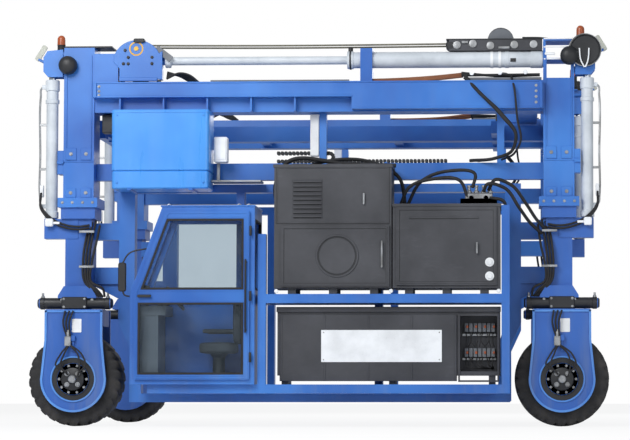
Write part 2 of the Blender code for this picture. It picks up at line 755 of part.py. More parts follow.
def make_cab(parent):
    side = NEAR
    inner, outer = side * cab_in, side * cab_out
    room = (inner + side * CAB_WALL, outer - side * CAB_FRAME)
    pane = (inner + side * PANE_EDGE, outer - side * PANE_EDGE)
    sill = cab_low + DOOR_SILL
    top = cab_low + CAB_HEIGHT
    upper = (sill + 0.09, top - 0.16)
    lower = (cab_low + 0.13, sill - 0.09)
    lean = CAB_LEAN / (CAB_HEIGHT - CAB_BREAK)
    knee = cab_low + CAB_BREAK
    screen = []
    for z in (upper[0] + 0.03, upper[1] + 0.06):
        screen.append((cab_front + (z - knee) * lean, z))
    wide = [(x - 0.15, z) for x, z in screen] + [(x + 0.15, z) for x, z in reversed(screen)]
    cuts = [
        plate(cab_outline(CAB_WALL), *room),
        plate(cab_outline(DOOR_FRAME), outer - side * 0.1, outer + side * 0.1),
        plate(wide, *pane),
        block((cab_front - 0.1, cab_front + 0.1), pane, lower),
        block((cab_rear - 0.1, cab_rear + 0.1), pane, upper),
    ]
    window = side_window(upper)
    cuts.append(plate(window, inner - side * 0.1, inner + side * 0.1))
    solid("cab_shell", BLUE, parent, [plate(cab_outline(0), inner, outer)], cuts)

    floor = cab_low + CAB_WALL + GAP
    centre = (inner + outer) / 2
    half = SEAT_WIDTH / 2
    back = cab_rear - 0.16
    seat = [
        block((back - 0.42, back - 0.12), (centre - 0.12, centre + 0.12), (floor, floor + 0.34)),
        block((back - 0.55, back), (centre - half, centre + half),
              (floor + 0.33, floor + SEAT_HEIGHT)),
        block((back - 0.12, back), (centre - half, centre + half),
              (floor + SEAT_HEIGHT - 0.01, floor + 1.10)),
    ]
    solid("cab_seat", FABRIC, parent, seat)
    desk = [
        block((cab_front + 0.07, cab_front + 0.33), (room[0] + side * 0.06, room[1] - side * 0.06),
              (floor, floor + 0.82)),
        block((cab_front + 0.10, cab_front + 0.42), (room[0] + side * 0.04, room[1] - side * 0.04),
              (floor + 0.80, floor + 0.92)),
    ]
    solid("cab_console", GREY, parent, desk)

    hinge = joint_empty("cab_door_hinge", cab_hinge, parent)
    face = (outer + side * GAP, outer + side * (GAP + DOOR_THICK))
    panel = cab_outline(DOOR_FRAME - 0.03)
    windows = [
        plate(window, face[0] - side * 0.1, face[1] + side * 0.1),
        block((cab_front + 0.11, cab_rear - 0.14), (face[0] - side * 0.1, face[1] + side * 0.1), lower),
    ]
    solid("cab_door", BLUE, hinge, [plate(panel, *face)], windows)


def side_window(height):
    """The slanted upper window of the cab's side."""
    knee = cab_low + CAB_BREAK
    lean = CAB_LEAN / (CAB_HEIGHT - CAB_BREAK)
    low, high = height
    front_low = cab_front + max(low - knee, 0) * lean + 0.13
    front_high = cab_front + (high - knee) * lean + 0.13
    rear = cab_rear - 0.14
    return [(front_low, low), (rear, low), (rear, high), (front_high, high)]


def make_box(name, parent, x, top, doorway, finish):
    """A hollow steel box on feet, its outer wall cut for a door."""
    side = NEAR
    outer = side * rack_out
    inner = side * (rack_out - BOX_DEPTH)
    foot = RACK_MID + RACK_RAIL + GAP
    low = foot + BOX_FEET
    shapes = [block(x, (inner, outer), (low, top))]
    for share in (0.15, 0.5, 0.85):
        at = x[0] + (x[1] - x[0]) * share
        for y in (outer - side * 0.06, side * (side_out + RAIL_WIDTH - 0.02)):
            wide = (y - 0.015, y + 0.015) if abs(y) > abs(inner) + 0.05 else (inner, inner + side * 0.03)
            shapes.append(block((at - 0.05, at + 0.05), wide, (foot, low + 0.01)))
    cuts = [
        block((x[0] + BOX_WALL, x[1] - BOX_WALL), (inner + side * BOX_WALL, outer - side * BOX_WALL),
              (low + BOX_WALL, top - BOX_WALL)),
        block(doorway[0], (outer - side * 0.1, outer + side * 0.1), doorway[1]),
    ]
    solid(name, finish, parent, shapes, cuts)
    return low


def make_panel(name, parent, pivot, doorway):
    """A door that laps over its doorway, hinged on its front edge."""
    hinge = joint_empty(f"{name}_hinge", pivot, parent)
    outer = NEAR * (rack_out + GAP)
    x = (doorway[0][0] - PANEL_LAP, doorway[0][1] + PANEL_LAP)
    z = (doorway[1][0] - PANEL_LAP, doorway[1][1] + PANEL_LAP)
    solid(name, BLACK, hinge, [block(x, (outer, outer + NEAR * PANEL_THICK), z)])


def make_boxes(parent):
    side = NEAR
    low = RACK_MID + RACK_RAIL + GAP + BOX_FEET
    engine_way = ((housing_x[0] + PANEL_EDGE, housing_x[1] - BOX_WALL - 0.02),
                  (low + 0.045, low + 0.045 + ENGINE_DOOR_HEIGHT))
    make_box("power_housing", parent, housing_x, HOUSING_TOP, engine_way, BLACK)
    cabinet_way = ((cabinet_x[0] + 0.07, cabinet_x[1] - 0.07), (low + 0.06, CABINET_TOP - 0.06))
    make_box("control_cabinet", parent, cabinet_x, CABINET_TOP, cabinet_way, BLACK)
    inner = rack_out - BOX_DEPTH
    engine = block((housing_x[0] + 0.20, housing_x[1] - 0.22),
                   (side * (inner + 0.12), side * (rack_out - 0.14)),
                   (low + BOX_WALL + GAP, low + 0.66))
    solid("engine_block", GREY, parent, [engine])
    make_panel("engine_door", parent, engine_hinge, engine_way)
    make_panel("cabinet_door", parent, cabinet_hinge, cabinet_way)

    outer = side * (rack_out - LOWER_IN)
    box_low = rack_top + 0.11
    x = (housing_x[0] + 0.03, rack_rear - POST_WIDTH - 0.02)
    shapes = [block(x, (side * inner, outer), (box_low, LOWER_TOP))]
    for at in tie_places[1:]:
        shapes.append(block((at - 0.04, at + 0.04), (side * (inner + 0.02), outer - side * 0.03),
                            (rack_top + GAP, box_low + 0.01)))
    bay = block((x[1] - BAY_LENGTH, x[1] - 0.03), (outer - side * BAY_DEPTH, outer + side * 0.1),
                (box_low + 0.05, LOWER_TOP - 0.10))
    solid("battery_box", BLACK, parent, shapes, [bay])


def make_tank(parent):
    inner = NEAR * (beam_in + MID_DEPTH + 0.01)
    x = -beam_end + TANK_START
    top = beam_low - GAP
    body = block((x, x + TANK_LENGTH), (inner, inner + NEAR * TANK_DEPTH), (top - TANK_HEIGHT, top))
    uprights = [e for e in body.edges if abs(e.verts[0].co.z - e.verts[1].co.z) > TANK_ROUND]
    bmesh.ops.bevel(body, geom=uprights, offset=TANK_ROUND, segments=3, affect="EDGES",
                    profile=0.5)
    solid("fuel_tank", TANK_BLUE, parent, [body])


clear_scene()
BLUE = paint("frame_blue", (0.065, 0.26, 0.72), 0.4)
TANK_BLUE = paint("tank_blue", (0.09, 0.38, 0.85), 0.35)
BLACK = paint("box_black", (0.05, 0.055, 0.065), 0.5)
GREY = paint("cylinder_grey", (0.6, 0.65, 0.7), 0.35)
STEEL = paint("rope_steel", (0.2, 0.2, 0.18), 0.5, 1.0)
RUBBER = paint("tyre_rubber", (0.03, 0.03, 0.032), 0.85)
FABRIC = paint("seat_fabric", (0.04, 0.04, 0.05), 0.9)

# Places along the near side: the boxes share what lies between the cab and the rear post.
post_front = cab_rear + 0.03
housing_start = post_front + POST_WIDTH + 0.10
box_span = rack_rear - POST_WIDTH - 0.015 - housing_start
housing_x = (housing_start, housing_start + box_span * HOUSING_SHARE)
cabinet_x = (housing_x[1] + BOX_GAP, housing_start + box_span)
tie_places = (
    -axle_x + RACK_FRONT + TIE_IN,
    post_front + TIE_AFTER_CAB,
    (post_front + rack_rear) / 2 + TIE_OFF_MIDDLE,
    foot_in - TIE_TO_FOOT,
)
post_places = (tie_places[1] - TIE_TO_FRONT_POST, tie_places[2] - TIE_TO_REAR_POST)
cab_hinge = (cab_rear - DOOR_FRAME + 0.03 + HINGE_OFF, NEAR * (cab_out + DOOR_THICK + 0.01),
             cab_low + 1.0)
engine_hinge = (housing_x[0] + PANEL_EDGE - PANEL_LAP - HINGE_OFF, NEAR * (rack_out + 0.035), 2.1)
cabinet_hinge = (cabinet_x[0] + 0.07 - PANEL_LAP - HINGE_OFF, NEAR * (rack_out + 0.035), 2.2)

portal = joint_empty("portal", (0, 0, 0))
near_slide = joint_empty("near_slide", (0, NEAR * wheel_y, sleeve_bottom), portal)
far_slide = joint_empty("far_slide", (0, FAR * wheel_y, sleeve_bottom), portal)

for side_name, side_sign in SIDES:
    make_portal_side(side_name, portal, side_sign)
for end_name, end_sign in ENDS:
    fall_top = make_cross_beam(end_name, portal, end_sign)
make_tank(portal)
make_spreader(portal, fall_top)
for side_name, side_sign in SIDES:
    make_sledge(side_name, portal, side_sign)
for corner_name, end_sign, side_sign in CORNERS:
    slide = near_slide if side_sign == NEAR else far_slide
    make_leg(corner_name, slide, end_sign, side_sign)
    make_fork(corner_name, slide, end_sign, side_sign)
    head_top = make_sleeve(corner_name, portal, end_sign, side_sign)
    make_lamp(corner_name, portal, end_sign, side_sign, head_top)
solid("side_frame_near", BLUE, near_slide, side_frame_shapes(NEAR))
solid("side_frame_far", BLUE, far_slide, side_frame_shapes(FAR))
make_rack(near_slide)
make_cab(near_slide)
make_boxes(near_slide)
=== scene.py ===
import json
import math

import bmesh
import bpy
import numpy as np
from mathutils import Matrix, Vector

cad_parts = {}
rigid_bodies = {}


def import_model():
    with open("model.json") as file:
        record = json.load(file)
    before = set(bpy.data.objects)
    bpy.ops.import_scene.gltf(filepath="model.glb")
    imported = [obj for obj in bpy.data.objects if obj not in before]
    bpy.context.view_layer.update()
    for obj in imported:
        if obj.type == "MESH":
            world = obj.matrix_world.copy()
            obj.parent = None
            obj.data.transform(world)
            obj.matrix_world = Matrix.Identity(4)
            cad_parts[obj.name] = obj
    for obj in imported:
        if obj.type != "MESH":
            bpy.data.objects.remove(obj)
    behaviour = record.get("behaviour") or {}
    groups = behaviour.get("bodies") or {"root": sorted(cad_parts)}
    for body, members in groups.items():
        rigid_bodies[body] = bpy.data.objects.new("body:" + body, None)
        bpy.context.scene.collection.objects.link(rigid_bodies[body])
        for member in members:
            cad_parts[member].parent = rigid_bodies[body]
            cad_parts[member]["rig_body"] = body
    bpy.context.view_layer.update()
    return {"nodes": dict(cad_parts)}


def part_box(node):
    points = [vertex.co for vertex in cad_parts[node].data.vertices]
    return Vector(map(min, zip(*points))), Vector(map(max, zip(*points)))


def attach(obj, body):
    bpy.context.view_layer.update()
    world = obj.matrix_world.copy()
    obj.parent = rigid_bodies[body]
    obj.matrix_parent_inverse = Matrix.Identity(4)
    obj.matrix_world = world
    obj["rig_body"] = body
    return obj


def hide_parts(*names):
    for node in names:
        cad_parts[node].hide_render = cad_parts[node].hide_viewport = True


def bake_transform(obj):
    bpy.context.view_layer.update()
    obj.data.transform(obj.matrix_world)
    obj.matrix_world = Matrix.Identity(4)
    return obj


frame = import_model()
print("frame loaded:", len(frame["nodes"]), "nodes")


# where things are, from the frame's own boxes
def span(node, axis):
    low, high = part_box(node)
    return low[axis], high[axis]


laneMid = (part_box("tyre_front_near")[0].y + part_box("tyre_front_far")[1].y) / 2
sides = {"near": -1, "far": 1}
ends = {"front": -1, "rear": 1}
corners = [(end, side) for end in ends for side in sides]


def across(side, depth):
    # world Y of a point this far out from the middle of the lane
    return laneMid + sides[side] * depth


# camera: low, in front of the rear half, nearly square to the side
camera = {
    "place": (2.531, laneMid - 29.468, 0.408),
    "frameCentre": (-0.022, laneMid - 2.12, 2.5735),
    "lens": 126.0,
    "sensor": 36.0,
    "shift": (-0.20, 0.10),
}
cameraData = bpy.data.cameras.new("sideView")
cameraData.lens = camera["lens"]
cameraData.sensor_width = camera["sensor"]
cameraData.shift_x, cameraData.shift_y = camera["shift"]
cameraObject = bpy.data.objects.new("sideView", cameraData)
bpy.context.scene.collection.objects.link(cameraObject)
bpy.context.scene.camera = cameraObject
reach = [b - a for a, b in zip(camera["place"], camera["frameCentre"])]
shiftAngles = [math.atan(s * camera["sensor"] / camera["lens"]) for s in camera["shift"]]
turn = math.atan2(-reach[0], reach[1]) + shiftAngles[0]
tilt = math.atan2(reach[2], math.hypot(reach[0], reach[1])) - shiftAngles[1]
cameraObject.location = camera["place"]
cameraObject.rotation_euler = (math.pi / 2 + tilt, 0, turn)


# shader wiring
class Wire:
    # one output socket: sums, products and comparisons of wires add Math nodes
    def __init__(self, paint, socket):
        self.paint = paint
        self.socket = socket

    def pair(self, kind, first, second):
        return self.paint.node("ShaderNodeMath", {"operation": kind}, {0: first, 1: second})

    def __add__(self, other):
        return self.pair("ADD", self, other)

    def __radd__(self, other):
        return self.pair("ADD", other, self)

    def __sub__(self, other):
        return self.pair("SUBTRACT", self, other)

    def __rsub__(self, other):
        return self.pair("SUBTRACT", other, self)

    def __mul__(self, other):
        return self.pair("MULTIPLY", self, other)

    def __rmul__(self, other):
        return self.pair("MULTIPLY", other, self)

    def __gt__(self, other):
        return self.pair("GREATER_THAN", self, other)

    def __lt__(self, other):
        return self.pair("LESS_THAN", self, other)


def tone(red, green, blue):
    # linear colour of a screen colour given as 0 to 255
    parts = [c / 255 for c in (red, green, blue)]
    return [c / 12.92 if c <= 0.04045 else ((c + 0.055) / 1.055) ** 2.4 for c in parts] + [1.0]


class Paint:
    def __init__(self, name):
        self.material = bpy.data.materials.new(name)
        self.material.use_nodes = True
        self.tree = self.material.node_tree
        self.tree.nodes.clear()
        self.place = self.node("ShaderNodeTexCoord", out="Object")

    def node(self, kind, settings=None, sockets=None, out=0):
        made = self.tree.nodes.new(kind)
        for name, value in (settings or {}).items():
            if name == "stops":
                ramp = made.color_ramp
                while len(ramp.elements) < len(value):
                    ramp.elements.new(0.5)
                for stop, (where, shade) in zip(ramp.elements, value):
                    stop.position = where
                    stop.color = shade
            else:
                setattr(made, name, value)
        for name, value in (sockets or {}).items():
            if isinstance(value, Wire):
                self.tree.links.new(value.socket, made.inputs[name])
            else:
                made.inputs[name].default_value = value
        return Wire(self, made.outputs[out]) if made.outputs else None

    def noise(self, scale, detail=4.0, roughness=0.55, stretch=(1, 1, 1), out=0):
        placed = self.node("ShaderNodeMapping", None, {"Vector": self.place, "Scale": stretch})
        settings = {"noise_dimensions": "3D"}
        return self.node(
            "ShaderNodeTexNoise",
            settings,
            {"Vector": placed, "Scale": scale, "Detail": detail, "Roughness": roughness},
            out,
        )

    def ramp(self, value, stops):
        return self.node("ShaderNodeValToRGB", {"stops": stops}, {"Fac": value})

    def spread(self, value, low, high, toLow=0.0, toHigh=1.0):
        # value between low and high carried over to toLow..toHigh, held at the ends
        sockets = {"Value": value, 1: low, 2: high, 3: toLow, 4: toHigh}
        return self.node("ShaderNodeMapRange", {"clamp": True}, sockets)

    def mix(self, share, first, second):
        return self.node(
            "ShaderNodeMix", {"data_type": "RGBA"}, {0: share, 6: first, 7: second}, out=2
        )

    def bump(self, height, strength, distance=0.002):
        return self.node(
            "ShaderNodeBump", None, {"Height": height, "Strength": strength, "Distance": distance}
        )

    def along(self, axis):
        return self.node("ShaderNodeSeparateXYZ", None, {0: self.place}, out=axis)

    def finish(self, **sockets):
        named = {name.replace("_", " "): value for name, value in sockets.items()}
        shader = self.node("ShaderNodeBsdfPrincipled", None, named)
        self.node("ShaderNodeOutputMaterial", None, {"Surface": shader})
        return self.material


def paintedSteel(name, lit, deep, dust, gloss=0.36, grime=0.5):
    # enamel on welded plate: slow change of tone, rain streaks, dust low down and specks of wear
    paint = Paint(name)
    slow = paint.noise(0.7, 3.0)
    streak = paint.noise(6.0, 5.0, 0.6, (1.0, 1.0, 0.12))
    fine = paint.noise(55.0, 3.0, 0.7)
    body = paint.mix(paint.spread(slow, 0.35, 0.65), lit, deep)
    low = paint.spread(paint.along(2), 0.2, 1.6, 0.55, 0.12)
    dirt = paint.spread(streak, 0.5, 0.78) * low * grime
    dusty = paint.mix(dirt, body, dust)
    wear = paint.spread(fine, 0.70, 0.76) * paint.spread(slow, 0.5, 0.7) * 0.5
    worn = paint.mix(wear, dusty, tone(150, 170, 195))
    rough = paint.spread(streak, 0.3, 0.8, gloss - 0.06, gloss + 0.2)
    orange = paint.noise(160.0, 2.0)
    return paint.finish(
        Base_Color=worn, Roughness=rough, Normal=paint.bump(orange, 0.12), Coat_Weight=0.25,
        Coat_Roughness=0.2,
    )


def powderCoat(name, body, lighter, gloss=0.5):
    # textured powder coat with dust and soft scuffs
    paint = Paint(name)
    slow = paint.noise(1.6, 4.0)
    scuff = paint.noise(9.0, 6.0, 0.65, (0.5, 1.0, 1.5))
    grain = paint.noise(420.0, 2.0)
    share = paint.spread(slow, 0.35, 0.7) * 0.6 + paint.spread(scuff, 0.58, 0.8) * 0.5
    rough = paint.spread(scuff, 0.3, 0.8, gloss - 0.05, gloss + 0.2)
    return paint.finish(
        Base_Color=paint.mix(share, body, lighter), Roughness=rough,
        Normal=paint.bump(grain, 0.35, 0.001),
    )


def bareMetal(name, body, darker, gloss=0.3, grain=(1, 1, 30)):
    # turned or drawn metal with fine lines and some tarnish
    paint = Paint(name)
    lines = paint.noise(60.0, 3.0, 0.6, grain)
    tarnish = paint.noise(5.0, 5.0)
    colour = paint.mix(paint.spread(tarnish, 0.4, 0.75), body, darker)
    rough = paint.spread(lines, 0.3, 0.7, gloss - 0.08, gloss + 0.12)
    return paint.finish(Base_Color=colour, Roughness=rough, Metallic=0.9,
                        Normal=paint.bump(lines, 0.15, 0.001))


def enamel(name, body, darker, gloss=0.35):
    # plain sprayed enamel with a little dirt
    paint = Paint(name)
    slow = paint.noise(3.0, 5.0)
    spots = paint.noise(40.0, 4.0, 0.7)
    share = paint.spread(slow, 0.42, 0.72) * 0.5 + paint.spread(spots, 0.62, 0.75) * 0.35
    rough = paint.spread(slow, 0.3, 0.7, gloss, gloss + 0.15)
    return paint.finish(Base_Color=paint.mix(share, body, darker), Roughness=rough,
                        Normal=paint.bump(spots, 0.1, 0.001))


def rubber(name, body, dust, dustHeight=0.0):
    # moulded rubber: matt, with pale dust caught in its grain
    paint = Paint(name)
    grain = paint.noise(90.0, 4.0, 0.7)
    patches = paint.noise(4.0, 5.0)
    share = paint.spread(patches, 0.45, 0.75) * 0.55 + paint.spread(grain, 0.55, 0.75) * 0.25
    rough = paint.spread(patches, 0.3, 0.7, 0.62, 0.85)
    return paint.finish(Base_Color=paint.mix(share, body, dust), Roughness=rough,
                        Normal=paint.bump(grain, 0.3, 0.001))


def wireRope(name):
    # laid strands: slanting ridges round the rope
    paint = Paint(name)
    placed = paint.node("ShaderNodeMapping", None, {
        "Vector": paint.place, "Rotation": (0.0, math.radians(35), math.radians(35)),
    })
    strands = paint.node(
        "ShaderNodeTexWave", {"bands_direction": "Z"},
        {"Vector": placed, "Scale": 45.0, "Distortion": 0.4},
    )
    colour = paint.mix(strands, tone(70, 68, 60), tone(150, 146, 128))
    return paint.finish(Base_Color=colour, Roughness=0.55, Metallic=0.6,
                        Normal=paint.bump(strands, 0.6, 0.002))


def clearGlass(name):
    # thin tinted glazing with a film of dust
    paint = Paint(name)
    film = paint.noise(3.0, 5.0)
    shader = paint.node("ShaderNodeBsdfPrincipled", None, {
        "Base Color": tone(205, 218, 226), "Roughness": 0.04, "Specular IOR Level": 0.6,
    })
    through = paint.node("ShaderNodeBsdfTransparent", None, {"Color": tone(232, 237, 240)})
    share = paint.spread(film, 0.4, 0.75, 0.02, 0.05)
    both = paint.node("ShaderNodeMixShader", None, {0: share, 1: through, 2: shader})
    paint.node("ShaderNodeOutputMaterial", None, {"Surface": both})
    return paint.material


finishes = {
    "frameBlue": paintedSteel("frameBlue", tone(58, 124, 206), tone(36, 94, 176), tone(120, 132, 150)),
    "forkBlue": paintedSteel("forkBlue", tone(46, 100, 184), tone(34, 86, 165), tone(120, 130, 145), 0.4,
                             0.9),
    # a lighter copy of the blue paint, used on the fork rims: painted highlight on their edges
    "rimHighlightBlue": paintedSteel("rimHighlightBlue", tone(92, 152, 226), tone(62, 120, 200), tone(130, 140, 155), 0.4,
                             0.7),
    "tankBlue": paintedSteel("tankBlue", tone(78, 158, 236), tone(62, 140, 222), tone(140, 170, 205), 0.3,
                             0.3),
    "boxBlack": powderCoat("boxBlack", tone(50, 51, 56), tone(78, 79, 84)),
    "darkPlastic": powderCoat("darkPlastic", tone(24, 25, 28), tone(48, 49, 52), 0.45),
    "wheelBlack": powderCoat("wheelBlack", tone(34, 35, 38), tone(84, 82, 80), 0.55),
    "cylinderGrey": enamel("cylinderGrey", tone(206, 212, 218), tone(150, 158, 166)),
    "chrome": bareMetal("chrome", tone(214, 218, 222), tone(160, 164, 168), 0.2),
    "engineIron": bareMetal("engineIron", tone(92, 92, 90), tone(52, 50, 48), 0.5, (1, 1, 1)),
    "steel": bareMetal("steel", tone(176, 178, 180), tone(110, 108, 104), 0.38),
    "console": powderCoat("console", tone(92, 96, 102), tone(128, 131, 136), 0.5),
    "tyre": rubber("tyre", tone(34, 33, 34), tone(92, 88, 84)),
    "hose": rubber("hose", tone(22, 22, 24), tone(60, 60, 62)),
    "seat": rubber("seat", tone(40, 42, 46), tone(84, 86, 90)),
    "rope": wireRope("rope"),
    "glass": clearGlass("glass"),
    "white": enamel("white", tone(238, 240, 242), tone(190, 192, 194), 0.4),
    "paddle": enamel("paddle", tone(196, 198, 186), tone(160, 160, 150), 0.5),
    "amber": enamel("amber", tone(170, 84, 44), tone(110, 52, 30), 0.25),
    "yellow": enamel("yellow", tone(228, 176, 60), tone(160, 120, 40), 0.4),
    "brownHose": rubber("brownHose", tone(120, 72, 44), tone(160, 110, 80)),
}
print("finishes made:", len(finishes))

slotFinish = {
    "frame_blue": "frameBlue", "tank_blue": "tankBlue", "box_black": "boxBlack",
    "lamp_black": "darkPlastic", "wheel_black": "wheelBlack", "cylinder_grey": "cylinderGrey",
    "engine_iron": "engineIron", "console": "console", "rope": "rope", "tyre": "tyre", "seat": "seat",
}
for name, node in frame["nodes"].items():
    slot = node.data.materials[0].name
    finish = "forkBlue" if name.startswith(("fork_", "leg_")) else slotFinish[slot]
    node.data.materials.clear()
    node.data.materials.append(finishes[finish])
print("frame painted")


# floor, sky and lamps
def pale(paint, share):
    # matt floor that shows white to the camera yet keeps some of the shadow
    matt = paint.node("ShaderNodeBsdfDiffuse", None, {"Color": (0.92, 0.92, 0.92, 1.0)})
    glow = paint.node("ShaderNodeEmission", None, {"Color": (1.0, 1.0, 1.0, 1.0), "Strength": 1.0})
    seen = paint.node("ShaderNodeLightPath", None, None, out="Is Camera Ray")
    return paint.node("ShaderNodeMixShader", None, {0: seen * share, 1: matt, 2: glow})


floorPaint = Paint("floorPale")
floorPaint.node("ShaderNodeOutputMaterial", None, {"Surface": pale(floorPaint, 0.86)})
floorMesh = bpy.data.meshes.new("floor")
floorHalf = 60.0
floorMesh.from_pydata(
    [(-floorHalf, -floorHalf, 0), (floorHalf, -floorHalf, 0), (floorHalf, floorHalf, 0),
     (-floorHalf, floorHalf, 0)],
    [], [(0, 1, 2, 3)],
)
floorMesh.materials.append(floorPaint.material)
floor = bpy.data.objects.new("floor", floorMesh)
bpy.context.scene.collection.objects.link(floor)

world = bpy.data.worlds.new("softSky")
bpy.context.scene.world = world
world.use_nodes = True
sky = world.node_tree
sky.nodes.clear()
lightPath = sky.nodes.new("ShaderNodeLightPath")
glow = sky.nodes.new("ShaderNodeBackground")
glow.inputs["Color"].default_value = (0.86, 0.92, 1.0, 1.0)
glow.inputs["Strength"].default_value = 0.42
backdrop = sky.nodes.new("ShaderNodeBackground")
backdrop.inputs["Color"].default_value = (1.0, 1.0, 1.0, 1.0)
seen = sky.nodes.new("ShaderNodeMath")
seen.operation = "MAXIMUM"
sky.links.new(lightPath.outputs["Is Camera Ray"], seen.inputs[0])
sky.links.new(lightPath.outputs["Is Transmission Ray"], seen.inputs[1])
skyMix = sky.nodes.new("ShaderNodeMixShader")
sky.links.new(seen.outputs[0], skyMix.inputs[0])
sky.links.new(glow.outputs[0], skyMix.inputs[1])
sky.links.new(backdrop.outputs[0], skyMix.inputs[2])
skyOut = sky.nodes.new("ShaderNodeOutputWorld")
sky.links.new(skyMix.outputs[0], skyOut.inputs["Surface"])

lamps = {
    "keyLamp": {"place": (-6.0, -14.0, 11.0), "aim": (0.0, 0.0, 2.4), "size": 7.0, "power": 1750},
    "fillLamp": {"place": (9.0, -15.0, 6.0), "aim": (0.0, 0.0, 2.4), "size": 9.0, "power": 420},
    "backLamp": {"place": (2.0, 14.0, 9.0), "aim": (0.0, 0.0, 2.4), "size": 8.0, "power": 600},
}
for name, lamp in lamps.items():
    data = bpy.data.lights.new(name, "AREA")
    data.energy = lamp["power"]
    data.size = lamp["size"]
    light = bpy.data.objects.new(name, data)
    bpy.context.scene.collection.objects.link(light)
    light.location = lamp["place"]
    aim = [b - a for a, b in zip(lamp["place"], lamp["aim"])]
    light.rotation_euler = (math.atan2(math.hypot(aim[0], aim[1]), -aim[2]), 0, math.atan2(-aim[0], aim[1]))
bpy.context.scene.view_settings.view_transform = "Standard"
print("camera, floor and lamps set")

# shapes: points as an (n, 3) array with blocks of faces that count into it
axisTurns = {
    "x": ((0, 1, 0), (0, 0, 1), (1, 0, 0)),
    "y": ((1, 0, 0), (0, 0, 1), (0, 1, 0)),
    "z": ((1, 0, 0), (0, 1, 0), (0, 0, 1)),
}


def wound(rings, capped=True):
    # rings of points, (m, n, 3), each joined to the next by quads and closed by a face at both ends
    m, n = rings.shape[:2]
    row = np.arange(m - 1)[:, None] * n
    here = np.arange(n)[None, :]
    following = (here + 1) % n
    quads = np.stack([row + here, row + following, row + n + following, row + n + here], -1)
    blocks = [quads.reshape(-1, 4)]
    if capped:
        blocks += [np.arange(n)[None, ::-1], (np.arange(n) + (m - 1) * n)[None, :]]
    return rings.reshape(-1, 3), blocks


def turned(profile, centre, axis, sides=32, closed=False):
    # (radius, height) points swung about an axis: centre + r cos(u) a + r sin(u) b + h c
    first, second, third = np.array(axisTurns[axis], float)
    profile = np.asarray(profile, float)
    if closed:
        profile = np.vstack([profile, profile[:1]])
    angle = np.linspace(0, math.tau, sides, endpoint=False)[:, None]
    circle = np.cos(angle) * first + np.sin(angle) * second
    rings = profile[:, 0, None, None] * circle + profile[:, 1, None, None] * third
    return wound(rings + np.asarray(centre, float), not closed)


def drawnIn(outline, amount):
    # the outline with each side moved in by an amount
    outline = np.asarray(outline, float)
    ahead = np.roll(outline, -1, 0) - outline
    ahead /= np.linalg.norm(ahead, axis=1)[:, None]
    behind = np.roll(ahead, 1, 0)
    following = np.roll(outline, -1, 0)
    area = (outline[:, 0] * following[:, 1] - outline[:, 1] * following[:, 0]).sum()
    inward = np.stack([-(ahead + behind)[:, 1], (ahead + behind)[:, 0]], 1) * np.sign(area)
    return outline + inward / (1 + (ahead * behind).sum(1))[:, None] * amount


def slab(outline, low, high, edge=0.004, axis="y"):
    # an outline of (u, v) points carried from low to high, drawn in by the edge at both faces
    first, second, third = np.array(axisTurns[axis], float)
    levels = ((edge, low), (0, low + edge), (0, high - edge), (edge, high))
    rings = []
    for amount, at in levels:
        line = drawnIn(outline, amount)
        rings.append(line[:, :1] * first + line[:, 1:] * second + at * third)
    return wound(np.array(rings))


def rounded(u, v, radius, steps=4):
    # a rectangle's outline with arcs at its corners
    turns = np.linspace(0, math.pi / 2, steps + 1)
    corner = np.stack([np.cos(turns), np.sin(turns)], 1) * radius
    quarter = np.array([[0, -1], [1, 0]])
    places = ((u[1] - radius, v[1] - radius), (u[0] + radius, v[1] - radius),
              (u[0] + radius, v[0] + radius), (u[1] - radius, v[0] + radius))
    return np.vstack([
        corner @ np.linalg.matrix_power(quarter.T, i) + place for i, place in enumerate(places)
    ])


def brick(x, y, z, edge=0.006, radius=0.0, axis="y"):
    # a box between pairs of x, y and z with broken edges, its corners rounded about one axis
    pairs = [sorted(pair) for pair in (x, y, z)]
    order = {"x": (1, 2, 0), "y": (0, 2, 1), "z": (0, 1, 2)}[axis]
    u, v, w = (pairs[i] for i in order)
    return slab(rounded(u, v, max(radius, edge), 1 if radius == 0 else 4), w[0], w[1], edge, axis)


def curveThrough(points, steps):
    # cubic Hermite line through the points, slopes taken from their neighbours, read at even steps
    points = np.asarray(points, float)
    at = np.r_[0, np.cumsum(np.linalg.norm(np.diff(points, axis=0), axis=1))]
    slope = np.gradient(points, at, axis=0)
    read = np.linspace(0, at[-1], steps)
    k = np.clip(np.searchsorted(at, read, "right") - 1, 0, len(at) - 2)
    gap = (at[k + 1] - at[k])[:, None]
    t = (read - at[k])[:, None] / gap
    start = (2 * t**3 - 3 * t**2 + 1) * points[k] + (t**3 - 2 * t**2 + t) * gap * slope[k]
    return start + (3 * t**2 - 2 * t**3) * points[k + 1] + (t**3 - t**2) * gap * slope[k + 1]


def hose(points, radius, sides=10, steps=36):
    # a circle carried along the line through the points; its frame leans on the line's flattest plane
    line = curveThrough(points, steps)
    tangent = np.gradient(line, axis=0)
    tangent /= np.linalg.norm(tangent, axis=1)[:, None]
    flat = np.linalg.svd(line - line.mean(0))[2][2]
    side = np.cross(tangent, flat)
    side /= np.linalg.norm(side, axis=1)[:, None]
    up = np.cross(side, tangent)
    angle = np.linspace(0, math.tau, sides, endpoint=False)[None, :, None]
    return wound(line[:, None] + radius * (np.cos(angle) * side[:, None] + np.sin(angle) * up[:, None]))


def repeated(shape, places):
    # one shape set down at each place
    points, blocks = shape
    places = np.asarray(places, float)
    starts = np.arange(len(places)) * len(points)
    moved = (points[None] + places[:, None]).reshape(-1, 3)
    return moved, [(block[None] + starts[:, None, None]).reshape(-1, block.shape[1]) for block in blocks]


